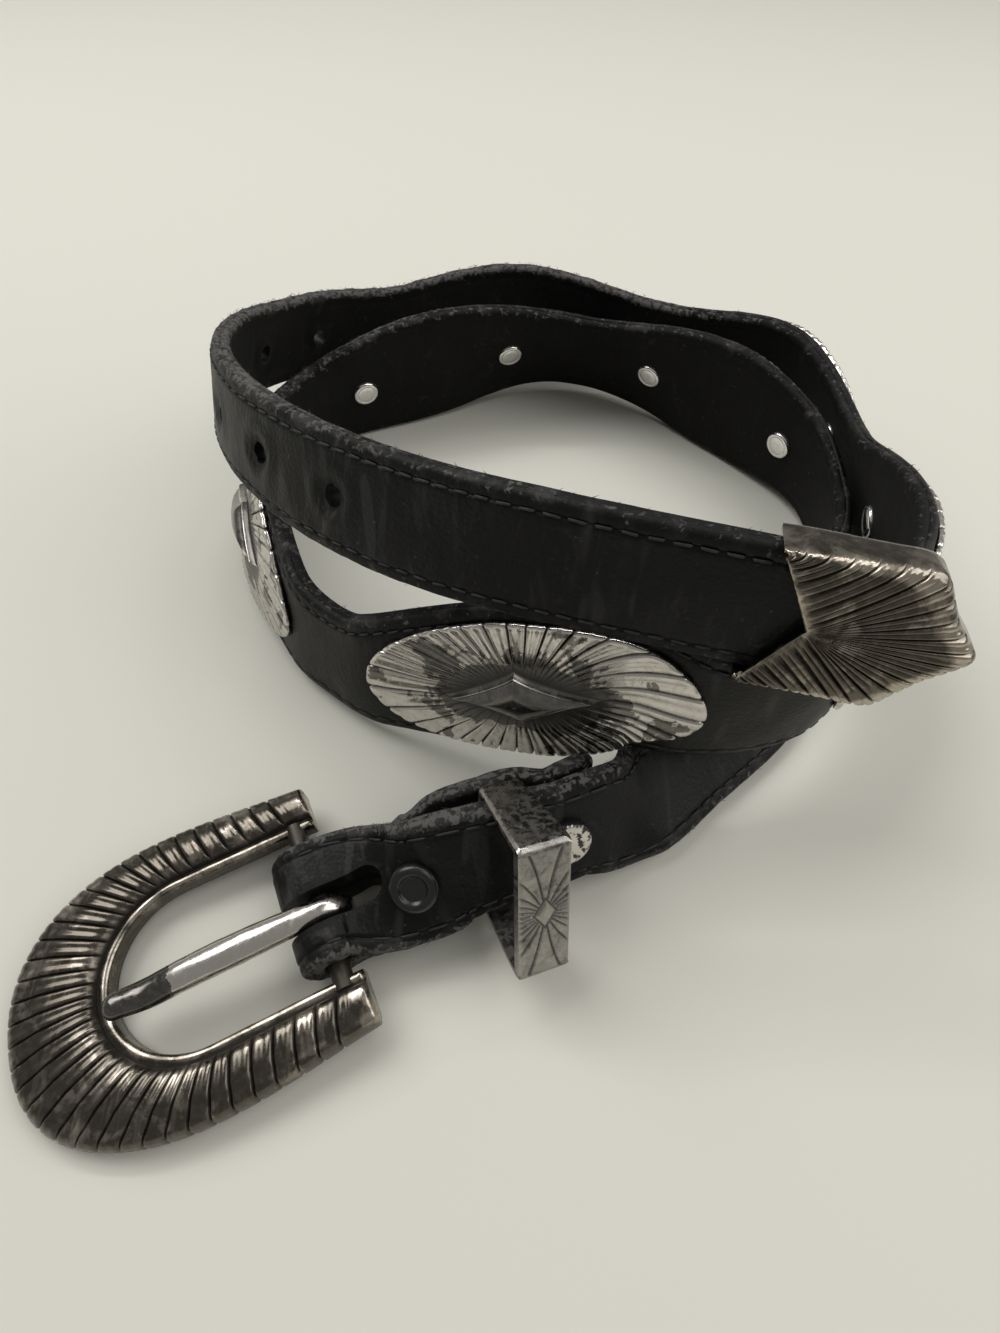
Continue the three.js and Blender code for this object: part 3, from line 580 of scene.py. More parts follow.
# Points round the strap: place across, height, how much it belongs to the edge and how much to the inside
def strapSection(half):
    t = strap["thickness"] / 2
    outer, inner = [], []
    for e in (1.3, 1.65, 1.95, 2.15, 2.3, 2.45, 2.65, 3.0, 3.6):
        roll = 0.22 * (1 - smooth((e - 1.2) / 1.6))
        outer.append((half - e, t - roll - strap["grooveDepth"] * bump(e - strap["stitchInset"], 0.26),
                      0.55 * (1 - smooth((e - 1.0) / 1.0)), 0))
    middle = [(half - 4.4) * k / 4 for k in (4, 3, 2, 1)]
    outer += [(v, t, 0, 0) for v in middle] + [(0, t, 0, 0)]
    rim = []
    r = strap["edgeRound"]
    for turn in (20, 42, 64, 84):
        a = math.radians(turn)
        rim.append((half - r + r * math.sin(a), t - 0.22 - r + r * math.cos(a), 0.65 + 0.35 * math.sin(a), 0))
    rim += [(half - 0.03, 0.25, 1, 0), (half - 0.24, 0.02, 1, 0.2), (half - 0.02, -0.22, 1, 0.4),
            (half, -0.9, 1, 0.6), (half - 0.2, 0.4 - t, 1, 0.8), (half - 0.65, 0.05 - t, 0.7, 1)]
    for e in (1.2, 2.0, 2.3, 2.6, 3.6):
        inner.append((half - e, -t + 0.12 * bump(e - 2.3, 0.26), 0.4 * (1 - smooth((e - 0.6) / 1.2)), 1))
    inner += [((half - 4.4) * k / 3, -t, 0, 1) for k in (3, 2, 1)] + [(0, -t, 0, 1)]

    def mirrored(points):
        return [(-v, n, e, i) for v, n, e, i in reversed(points)]

    right = outer[::-1] + rim + inner
    return right + mirrored(right)[1:-1]


def holePlaces():
    return [strapLength - holes["toEnd"] - i * holes["pitch"] for i in range(holes["count"])]


# How worn the leather is along the strap, which sets its lighter crease streaks: real wear at the holes, the
# folded end and the flap, and a painted sheen on the coil's left bend on both layers (about 320 mm from the
# bar and 120 mm before the end)
def wearAndSheenAt(row):
    s = row["s"]
    near = min(abs(s - h) for h in holePlaces())
    return min(1.0, 0.12 + 0.7 * bump(near, 4.5) + 0.7 * bump(s, 14) + 0.25 * (1 if row["flap"] == 1 else 0)
               + 0.5 * bump(s - 320, 70) + 0.35 * bump(s - strapLength + 120, 90))


# How far the edge is frayed: most on the tip's side of the coil and at the folded end.
def frayedAt(s):
    return min(1.0, 0.3 + 0.7 * bump(s, 60) + 0.9 * smooth((s - strapLength + 290) / 60)
               * smooth((strapLength - 20 - s) / 120) + 0.3 * bump(s - 300, 60))


def strapDents(s, v, n):
    near = min((math.hypot(s - h, v) for h in holePlaces()), default=99)
    dent = 0.5 * bump(near - 2.0, 0.8) - 0.32 * bump(near - 4.0, 1.1)
    return -dent if n > 0 else dent * -0.9


def strapMesh():
    line = leatherLine()
    points, marks = [], dict(edge=[], inner=[], wear=[], along=[], across=[])
    for row in line:
        section = strapSection(strapWidth(row["s"]) / 2)
        # Wear, together with the painted sheen of the left bend, for the lighter crease streaks
        worn = wearAndSheenAt(row)
        frayed = frayedAt(row["s"])
        for v, n, edge, inside in section:
            edge *= frayed
            at = row["at"] + row["up"] * v + row["out"] * n
            shake = rough(at.x, at.y, at.z, 2.4) * 0.16 + rough(at.z, at.x, at.y, 0.9) * 0.1
            lump = rough(at.y, at.z, at.x, 7) * 0.16
            side = 1 if v > 0 else -1
            at = at + row["up"] * (shake * edge * side) + row["out"] * (
                shake * edge * 0.8 + lump * (1 - edge) + strapDents(row["s"], v, n) * (row["flap"] == 0))
            points.append(at)
            note(marks, edge, inside, worn, row["along"], v)
    columns = len(points) // len(line)
    faces = gridFaces(len(line), columns, closeColumns=True)
    closeEnds(points, faces, columns, marks, edge=1.0, inner=0.5, wear=0.5, along=0.5, across=0.5)
    return points, faces, marks


def cylinderBetween(a, b, radius, sides):
    along = (b - a).normalized()
    side = along.orthogonal().normalized()
    other = along.cross(side)
    turns = [2 * math.pi * i / sides for i in range(sides)]
    ring = [(side * math.cos(turn) + other * math.sin(turn)) * radius for turn in turns]
    points = [end + spoke for end in (a, b) for spoke in ring]
    return points, prismFaces(sides)


def slotCutter():
    half = fold["slotWidth"] / 2
    front = foldRadius + strap["thickness"]
    back = -(fold["slotReach"] - half)
    outline = [(front, -half), (front, half), (back, half)]
    outline += [(back - half * math.sin(a), half * math.cos(a))
                for a in [math.pi * k / 12 for k in range(1, 12)]] + [(back, -half)]
    points = []
    for h in (-front, front):
        points += [barStation["point"] + towardsBow * u + alongBar * (v + fold["slotShift"]) + upright * h
                   for u, v in outline]
    return points, prismFaces(len(outline))


def cutters():
    depth, radius = strap["thickness"], holes["diameter"] / 2
    yield slotCutter()
    for s in holePlaces():
        yield cylinderBetween(beside(s, 0, -depth), beside(s, 0, depth), radius, holes["sides"])


def cutStrap(piece):
    points, faces = [], []
    for cutPoints, cutFaces in cutters():
        faces += shifted(cutFaces, len(points))
        points += cutPoints
    cutMarks = dict(edge=0.8, inner=0.5, wear=0.6, along=0.0, across=0.0)
    cutMarks = {key: [value] * len(points) for key, value in cutMarks.items()}
    punches = addObject("punches", newMesh("punches", points, faces, cutMarks))
    cut = piece.modifiers.new("holes", "BOOLEAN")
    cut.operation = "DIFFERENCE"
    cut.solver = "MANIFOLD"
    cut.object = punches
    done = bpy.data.meshes.new_from_object(piece.evaluated_get(bpy.context.evaluated_depsgraph_get()))
    piece.modifiers.clear()
    old, piece.data = piece.data, done
    bpy.data.meshes.remove(old)
    bpy.data.objects.remove(punches)
    done.name = piece.name
    smoothShade(done, 50)


points, faces, marks = strapMesh()
strapPiece = makePiece("leatherStrap", points, faces, blackLeather, "strap", marks, 60)
cutStrap(strapPiece)
print("belt: strap", len(strapPiece.data.polygons), "faces")


# Loose fibres on the frayed edges
fibres = dict(tries=5200, longest=0.4, thinnest=0.04, thickest=0.09, upperShare=0.8)


def fibreMesh():
    points, faces = [], []
    random.seed(11)
    for _ in range(fibres["tries"]):
        s = random.uniform(2, strapLength - 4)
        if random.random() > frayedAt(s) ** 2:
            continue
        side = 1 if random.random() < fibres["upperShare"] else -1
        n = random.uniform(-1.6, 1.2)
        half, out = strapWidth(s) / 2, outerOffset(s) + n
        root = beside(s, side * (half - 0.12 - 0.35 * (n / 1.7) ** 4), out)
        end = beside(s + random.uniform(-1.0, 1.0), side * (half + random.uniform(0.05, fibres["longest"])),
                     out + random.uniform(-0.5, 0.5))
        thick = random.uniform(fibres["thinnest"], fibres["thickest"])
        across = (end - root).orthogonal().normalized() * thick
        other = across.cross((end - root).normalized())
        faces += shifted([(0, 1, 3), (1, 2, 3), (2, 0, 3), (0, 2, 1)], len(points))
        points += [root + across, root - across * 0.5 + other, root - across * 0.5 - other, end]
    return points, faces


points, faces = fibreMesh()
marks = dict(edge=1.0, inner=0.5, wear=1.0, along=0.0, across=0.0)
marks = {key: [value] * len(points) for key, value in marks.items()}
makePiece("frayedFibres", points, faces, blackLeather, "strap", marks, 80)


# Stitching along both edges. Each stitch sinks at its ends.
stitch = dict(pitch=3.15, length=2.5, radius=0.24, sides=6, sunk=0.12, endDrop=0.3)
stitchRings = ((-0.5, 0.45), (-0.38, 0.95), (0, 1.0), (0.38, 0.95), (0.5, 0.45))


def addStitch(points, faces, s, side):
    skew = random.uniform(-0.12, 0.12)
    long = stitch["length"] * random.uniform(0.9, 1.04)
    sides, start, last = stitch["sides"], len(points), len(stitchRings) - 1
    sunk = strap["thickness"] / 2 - stitch["sunk"]
    for k, (step, wide) in enumerate(stitchRings):
        at = s + step * long
        drop = stitch["endDrop"] if k in (0, last) else 0
        across = side * (strapWidth(at) / 2 - strap["stitchInset"] + skew * step)
        middle = outerOffset(max(at, 0)) + (sunk - drop)
        r = stitch["radius"] * wide
        for i in range(sides):
            turn = 2 * math.pi * i / sides
            points.append(beside(at, across + r * math.cos(turn), middle + r * math.sin(turn)))
    faces += shifted(gridFaces(len(stitchRings), sides, closeColumns=True), start)
    faces.append(tuple(start + i for i in range(sides - 1, -1, -1)))
    faces.append(tuple(range(len(points) - sides, len(points))))


points, faces = [], []
random.seed(5)
s = 2.0
while s < strapLength - 3:
    for side in (-1, 1):
        addStitch(points, faces, s, side)
    s += stitch["pitch"]
makePiece("edgeStitching", points, faces, waxedThread, "strap", {}, 80)
print("belt: stitching", len(faces), "faces")


# Samples across one rib or petal, close together at the groove on either side of it
ribSamples = (0.0, 0.03, 0.07, 0.14, 0.25, 0.38, 0.5, 0.62, 0.75, 0.86, 0.93, 0.97)


def ribPlaces(count):
    return [((rib + q) / count, min(q, 1 - q)) for rib in range(count) for q in ribSamples]


def grooveCut(p, width=0.045):
    return math.exp(-((p / width) ** 2))


def ribSwell(p):
    return math.sin(math.pi * min(1, 2 * p)) ** 0.6


# Turns at which the places come evenly along an edge. reach says how far the edge has gone at each turn.
def evenTurns(places, turns, reach):
    out = []
    for place, _ in places:
        goal = place * reach[-1]
        k = min(max(bisect.bisect_left(reach, goal) - 1, 0), len(turns) - 2)
        out.append(lerp(turns[k], turns[k + 1], (goal - reach[k]) / (reach[k + 1] - reach[k])))
    return out


# Conchos
concho = dict(
    length=57.4, height=27.8, petals=32, drop=0.5, grooveDepth=0.6, petalBulge=0.17,
    bossLength=23.8, bossHeight=9.8, bossRise=2.8, domeRise=1.5, widerEnds=0.6, uneven=0.16,
)


def ellipseTurns(places, a, b):
    steps = 4000
    turns = [2 * math.pi * i / steps for i in range(steps + 1)]
    reach = [0.0]
    for t0, t1 in zip(turns, turns[1:]):
        step = math.hypot(a * (math.cos(t1) - math.cos(t0)), b * (math.sin(t1) - math.sin(t0)))
        reach.append(reach[-1] + step / (1 + concho["widerEnds"] * math.cos(t0) ** 2))
    return evenTurns(places, turns, reach)


petalPlaces = ribPlaces(concho["petals"])
conchoTurns = ellipseTurns(petalPlaces, concho["length"] / 2, concho["height"] / 2)
conchoShares = (0.5, 0.9, 0.985, 1.0, 1.0, 0.99, 0.97, 0.94, 0.9, 0.85, 0.79, 0.72, 0.65, 0.58, 0.52)
conchoHeights = (0, 0, 0, 0.2, 0.62, 0.84, 0.93, 0.9, 0.92, 0.98, 1.08, 1.2, 1.32, 1.42, 1.48)
bossRings = ((1.14, 0.0), (1.05, 0.12), (1.0, 0.36), (0.965, 0.45), (0.925, 0.43), (0.87, 0.46), (0.78, 0.6),
             (0.64, 0.78), (0.46, 0.91), (0.26, 0.98))


def conchoPiece(index):
    place = conchoPlace(index)
    base = strap["thickness"] / 2 + 0.1
    points, marks = [], dict(shine=[], groove=[])
    a, b = concho["length"] / 2, concho["height"] / 2
    top = concho["domeRise"]
    bossA, bossB = concho["bossLength"] / 2, concho["bossHeight"] / 2

    def add(x, y, h, shine, groove):
        shareOf = math.hypot(x / a, y / b)
        swirl = rough(x + index * 31, y, 0, 6) * concho["uneven"]
        points.append(beside(place + x, y - concho["drop"], base + h + swirl * smooth((shareOf - 0.4) / 0.2)))
        note(marks, shine, groove)

    for k, (share, high) in enumerate(zip(conchoShares, conchoHeights)):
        onTop = 1 if k >= 4 else 0
        for turn, (_, p) in zip(conchoTurns, petalPlaces):
            cut, swell = grooveCut(p), ribSwell(p)
            reach = share * (1 - (0.55 * cut * (share > 0.9)) / b)
            rise = high / 1.48 * top if k > 7 else high
            h = rise + onTop * (concho["petalBulge"] * swell * min(1, 1.3 * share)
                                - concho["grooveDepth"] * cut * smooth((share - 0.46) / 0.25))
            bright = 0.62 + 0.12 * bump(share - 0.86, 0.15) + 0.4 * bump(share - 1.0, 0.03)
            bright -= 0.1 * (1 - swell) + 0.24 * bump(share - 0.52, 0.12)
            add(a * reach * math.cos(turn), b * reach * math.sin(turn), max(h, 0.12 * onTop), bright,
                onTop * cut * lerp(0.5, 0.9, smooth((share - 0.5) / 0.3)))
    for share, lift in bossRings:
        hollow = lerp(1.15, 0.82, smooth(share))  # the sides of the diamond are hollow, its dome is rounder
        for turn in conchoTurns:
            c, d = abs(math.cos(turn)), abs(math.sin(turn))
            reach = share / (c ** hollow + d ** hollow) ** (1 / hollow)
            ridge = bump(share - 0.975, 0.03)
            add(bossA * reach * math.cos(turn), bossB * reach * math.sin(turn),
                top - 0.1 + concho["bossRise"] * lift, -0.6 + 2.0 * ridge, 0.8 * bump(share - 1.13, 0.05))
    columns = len(conchoTurns)
    faces = gridFaces(len(conchoShares) + len(bossRings), columns, closeColumns=True)
    closeEnds(points, faces, columns, marks, shine=0.5, groove=0)
    name, node = f"concho{index + 1}", f"concho_{index + 1}"
    makePiece(name, points, faces, conchoSilver, node, marks, 75)


for index in range(strap["conchoCount"]):
    conchoPiece(index)
print("belt: conchos", strap["conchoCount"])


# Rivets and snaps: turned pieces on a face of the strap. A profile row is radius, height, shine and groove.
rivet = dict(spacing=38.8, radius=3.1)
snap = dict(radius=3.9)


def turnedPiece(name, s, side, radius, profile, material, node, sides=48, chip=None):
    points, marks = [], dict(shine=[], groove=[], chip=[])
    base = strap["thickness"] / 2
    st = stationAt(s)
    for r, h, shine, groove in profile:
        for i in range(sides):
            turn = 2 * math.pi * i / sides
            x, y = radius * r * math.cos(turn), radius * r * math.sin(turn)
            points.append(st["point"] + st["along"] * x + st["up"] * y + st["out"] * (side * (base + h)))
            note(marks, shine, groove, chip(x, y, r) if chip else 0)
    faces = gridFaces(len(profile), sides, closeColumns=True)
    closeEnds(points, faces, sides, marks)
    makePiece(name, points, faces, material, node, marks, 50)


# Enamel that has flaked off down to the metal
def flaked(x, y, r):
    ragged = noise.noise(Vector((x, y, 0)) * 0.9) + 0.5 * noise.noise(Vector((x, y, 3)) * 2.6)
    return 1 if (r < 0.97 and ragged + 0.55 - 0.5 * r ** 3 > 0.18) else 0


rivetProfile = [(1, -0.4, 0.6, 0.4), (1, 0.1, 0.6, 0.3), (1.0, 0.42, 0.7, 0), (0.95, 0.68, 0.9, 0),
                (0.86, 0.79, 0.8, 0), (0.74, 0.82, 0.7, 0), (0.7, 0.76, 0.5, 0.2), (0.66, 0.82, 0.7, 0),
                (0.4, 0.86, 0.7, 0), (0.12, 0.87, 0.7, 0)]
for i in range(strap["conchoCount"]):
    for letter, shift in (("a", -0.5), ("b", 0.5)):
        place = conchoPlace(i) + shift * rivet["spacing"]
        turnedPiece(f"rivetHead{i + 1}{letter}", place, -1, rivet["radius"], rivetProfile, rivetNickel,
                    f"rivet_{i + 1}{letter}")

ringProfile = [(1, -0.4), (1, 0.5), (0.98, 0.95), (0.92, 1.32), (0.82, 1.55), (0.72, 1.6), (0.62, 1.48),
               (0.55, 1.25), (0.5, 0.95), (0.47, 0.9), (0.3, 0.94), (0.1, 0.96)]
discProfile = [(1, -0.4), (1, 0.5), (0.985, 0.95), (0.94, 1.25)]
discProfile += [(0.9 - 0.05 * k, 1.34 + 0.012 * k) for k in range(17)]
for i, (profile, sides, chip) in enumerate(((ringProfile, 64, None), (discProfile, 96, flaked))):
    profile = [(r, h, 0, 0) for r, h in profile]
    turnedPiece(f"snapCap{i + 1}", fold["snaps"][i], 1, snap["radius"], profile, blackEnamel, f"snap_{i + 1}",
                sides, chip)
print("belt: rivets and snaps")


# Tip
tip = dict(length=25.8, wall=0.8, notch=6.0, ahead=4.2, flare=0.4, dome=0.9, ribs=23)


def tipEdge(places):
    half = strap["endWidth"] / 2 + 0.75
    wide = half + tip["flare"]
    shares = [(0, half), (0.12, half + 0.2), (0.31, half + 0.3), (0.5, half + 0.4), (0.64, wide),
              (0.705, wide - 0.7), (0.77, wide - 3.1), (0.85, 4.5), (0.925, 2.5), (0.97, 1.3), (0.993, 0.5)]
    rows = [(share * tip["length"], v) for share, v in shares]
    rows += [(tip["length"], 0)] + [(u, -v) for u, v in reversed(rows)]
    length, value = smoothRows(rows)
    return [value(length * place) for place, _ in places]


# Where a rib starts on the notch: the middle ones at its corner, the rest spread along its edges
def ribStart(i, count, corner):
    place = abs(2 * i / (count - 1) - 1)
    spread = 0.93 * smooth((place - 0.42) / 0.58) ** 0.8
    u, v = corner
    side = 1 if i < count / 2 else -1
    return lerp(tip["notch"], u, spread), lerp(0, v * side, spread)


def tipPiece():
    places = ribPlaces(tip["ribs"]) + [(1.0, 0.0)]
    count = len(places)
    edge = tipEdge(places)
    thick = strap["thickness"] / 2 + clearance + tip["wall"]
    dome = tip["dome"]
    start = strapLength - tip["notch"] + tip["ahead"]
    points, marks = [], dict(shine=[], groove=[])
    # From the notch over the face to the back: share of the way, height, how ribbed, how bright, how bowed
    rows = []
    for share in (0.0, 0.03, 0.08, 0.15, 0.25, 0.36, 0.48, 0.6, 0.71, 0.8):
        ribbed, bright = smooth((share - 0.02) / 0.1), 0.25 + 0.6 * bump(share, 0.035)
        rows.append((share, thick + dome * (1 - share ** 3), ribbed, bright, 1.5))
    rows += [(0.885, thick + dome * 0.24, 1, 0.9, 0), (0.925, thick + dome * 0.04, 1, 0.95, 0),
             (0.96, thick - 0.25, 0.9, 0.7, 0), (0.985, thick - 0.7, 0.7, 0.5, 0),
             (1.0, thick - 1.3, 0.3, 0.45, 0), (1.0, 0.5, 0, 0.4, 0), (1.0, -thick + 1.1, 0, 0.4, 0),
             (0.99, -thick + 0.45, 0, 0.5, 0), (0.965, -thick + 0.1, 0, 0.5, 0)]
    rows += [(share, -thick, 0, 0.4, 0) for share in (0.9, 0.6, 0.3, 0.0)]
    for share, n, ribbed, shine, curl in rows:
        for i, (_, p) in enumerate(places):
            cut = grooveCut(p, 0.06) * ribbed * smooth(min(i, count - 1 - i) / 3)
            swell = ribSwell(p)
            u, v = edge[i]
            reach = share - 0.022 * cut * (share > 0.8)
            u0, v0 = ribStart(i, count, edge[0])
            bow = curl * share * (1 - share) * smooth(abs(v) / 6)
            x = lerp(u0, u, reach) + bow * 0.6
            y = lerp(v0, v, reach)
            points.append(beside(start + x, y, n - 0.3 * cut + 0.26 * swell * ribbed))
            note(marks, shine + 0.1 * swell * ribbed, cut * 0.6)
    faces = gridFaces(len(rows), count)
    piece = makePiece("ribbedTip", points, faces, tipNickel, "belt_tip", marks, 75)
    shell = piece.modifiers.new("shell", "SOLIDIFY")
    shell.thickness = tip["wall"] * mm
    shell.offset = -1


tipPiece()
print("belt: tip")


# Keeper: a loop round the strap, engraved on its face
keeper = dict(
    place=31.8, width=7.9, backWidth=6.6, roll=9.0, hang=-1.1, wall=1.1, face=1.8, depth=13.7,
    slack=2.4, yaw=6.0, cornerRadius=1.2, faceSteps=112, acrossSteps=42, engraving=0.24, boss=0.2, worn=0.35,
)


# Points round the loop, each with its place across, its height and whether it is on the face
def keeperPath():
    high = strap["endWidth"] + keeper["slack"]
    back = -strap["thickness"] / 2 - clearance - keeper["width"] / 2 * math.sin(math.radians(keeper["yaw"]))
    front = back + keeper["depth"]
    side = high / 2 + keeper["wall"]
    face, behind = front + keeper["face"], back - keeper["wall"]
    r = keeper["cornerRadius"]
    flat = side - r

    def quarter(steps, last, place):
        angles = [math.pi / 2 * k / steps for k in range(1, last + 1)]
        return [(*place(r * math.sin(a), r * math.cos(a)), 0) for a in angles]

    steps = keeper["faceSteps"]
    path = [(lerp(flat, -flat, k / steps), face, 1) for k in range(steps + 1)]
    path += quarter(6, 6, lambda v, n: (-flat - v, face - r + n))
    path += [(-side, lerp(face - r, behind + r, k / 10), 0) for k in range(1, 11)]
    path += quarter(5, 5, lambda v, n: (-flat - n, behind + r - v))
    path += [(lerp(-flat, flat, k / 16), behind, 0) for k in range(1, 17)]
    path += quarter(5, 5, lambda v, n: (flat + v, behind + r - n))
    path += [(side, lerp(behind + r, face - r, k / 10), 0) for k in range(1, 11)]
    path += quarter(6, 5, lambda v, n: (flat + n, face - r + v))
    return path, back, front, high / 2


# Depth of the engraved rays on the face: a lozenge in the middle and rays that bow away from it.
def engraved(v, w):
    lozenge = abs(v) / 2.6 + abs(w) / 1.7
    outline = bump(lozenge - 1, 0.1)
    if lozenge < 1:
        return outline, smooth((1 - lozenge) / 0.5)
    reach = math.hypot(v, w)
    angle = math.atan2(abs(w), abs(v)) - 0.02 * reach * math.sin(2 * math.atan2(abs(w), abs(v)))
    ray = angle / (math.pi / 2) * 6 + 0.5
    near = abs(ray - round(ray)) * reach * math.pi / 12
    return max(outline, bump(near, 0.13) * smooth((lozenge - 1) / 0.2)), 0.0


def keeperPiece():
    st = stationAt(keeper["place"])
    yaw = math.radians(keeper["yaw"])
    path, back, front, high = keeperPath()
    steps = [k / keeper["acrossSteps"] - 0.5 for k in range(keeper["acrossSteps"] + 1)]
    points, marks = [], dict(shine=[], groove=[])
    roll = math.radians(keeper["roll"])
    straight = st["up"].cross(st["out"])
    up = st["up"] * math.cos(roll) + straight * math.sin(roll)
    axis = straight * math.cos(roll) - st["up"] * math.sin(roll)

    def add(v, n, w, shine, groove):
        share = (n - back) / keeper["depth"]
        w = w * lerp(keeper["backWidth"] / keeper["width"], 1, smooth(share))
        out = n * math.cos(yaw) - w * math.sin(yaw)
        along = n * math.sin(yaw) + w * math.cos(yaw)
        points.append(st["point"] + up * (v + keeper["hang"]) + st["out"] * out + axis * along)
        note(marks, shine, groove)

    for v, n, onFace in path:
        for step in steps:
            w = step * keeper["width"]
            edge = bump(abs(step) - 0.5, 0.06)
            cut, boss = engraved(v, w) if onFace else (0.0, 0.0)
            cut *= 1 - bump(abs(step) - 0.5, 0.045)
            soft = keeper["worn"] * smooth((abs(step) - 0.44) / 0.06)
            if onFace:
                height, wide = n - (soft + keeper["engraving"] * cut - keeper["boss"] * boss), v
            else:
                height = n + (soft if n < 0 else 0)
                wide = v - math.copysign(soft, v) * min(1, max(0, min(abs(v) - high, 1)))
            add(wide, height, w, 0.4 + 0.55 * edge + 0.35 * boss + 0.1 * onFace, cut * 0.85)
    inside = (0.5, 0.25, 0, -0.25, -0.5)
    for v, n, _ in path:
        for step in inside:
            add(min(max(v, -high), high), min(max(n, back), front), step * keeper["width"], 0.3, 0.2)
    count, outer, inner = len(path), len(steps), len(inside)
    faces = []
    for r in range(count):
        rings = []
        for row in (r, (r + 1) % count):
            start = count * outer + row * inner
            rings.append([*range(row * outer, (row + 1) * outer), *range(start, start + inner)])
        here, there = rings
        for c in range(outer + inner):
            c2 = (c + 1) % (outer + inner)
            faces.append((here[c], here[c2], there[c2], there[c]))
    makePiece("rayedKeeper", points, faces, keeperNickel, "keeper", marks, 55)


keeperPiece()
print("belt: keeper")


# Buckle frame and tongue. Both are drawn from the middle of the bar: towards the bow, along the bar and up.
buckle = dict(
    gap=24.6, width=43.6, armEnd=40.2, length=50.8, behindBar=3.2, bow=15.2, shift=-0.8, bowShare=0.58,
    thickness=4.8, ribs=40, ribDepth=0.5, rim=1.5, lean=0.045, barSides=24,
)
barHeight = barStation["point"].z - buckle["thickness"] / 2
frameTilt = math.asin(barHeight / (buckle["length"] - buckle["behindBar"]))


def fromBar(u, v, h):
    forward = towardsBow * math.cos(frameTilt) - upright * math.sin(frameTilt)
    face = towardsBow * math.sin(frameTilt) + upright * math.cos(frameTilt)
    return barStation["point"] + forward * u + alongBar * v + face * h


# The inner and the outer edge of the frame at a turn, which goes from -1 at one arm's end to 1 at the other's
def framePair(turn):
    side = 1 if turn >= 0 else -1
    share = abs(turn)
    bowEnd = buckle["length"] - buckle["behindBar"]
    innerReach = buckle["gap"] / 2 + 0.5
    innerCentre = bowEnd - buckle["bow"] - innerReach
    outerReach = bowEnd - innerCentre
    bowShare = buckle["bowShare"]
    if share < bowShare:
        angle = share / bowShare * math.pi / 2
        inner = (innerCentre + innerReach * math.cos(angle), side * buckle["gap"] / 2 * math.sin(angle))
        power = 2 / 2.3
        outer = (innerCentre + outerReach * math.cos(angle) ** power,
                 side * buckle["width"] / 2 * math.sin(angle) ** power)
        return inner, outer
    down = (share - bowShare) / (1 - bowShare)
    u = innerCentre - down * (innerCentre + buckle["behindBar"])
    width = lerp(buckle["width"], buckle["armEnd"], smooth(down) * 0.5 + 0.5 * down * down)
    return (u, side * buckle["gap"] / 2), (u, side * width / 2)


def frameTurns(places):
    steps = 2000
    turns = [-1 + 2 * i / steps for i in range(steps + 1)]
    edge = [framePair(turn)[1] for turn in turns]
    reach = [0.0]
    for a, b in zip(edge, edge[1:]):
        reach.append(reach[-1] + math.hypot(b[0] - a[0], b[1] - a[1]))
    return evenTurns(places, turns, reach)


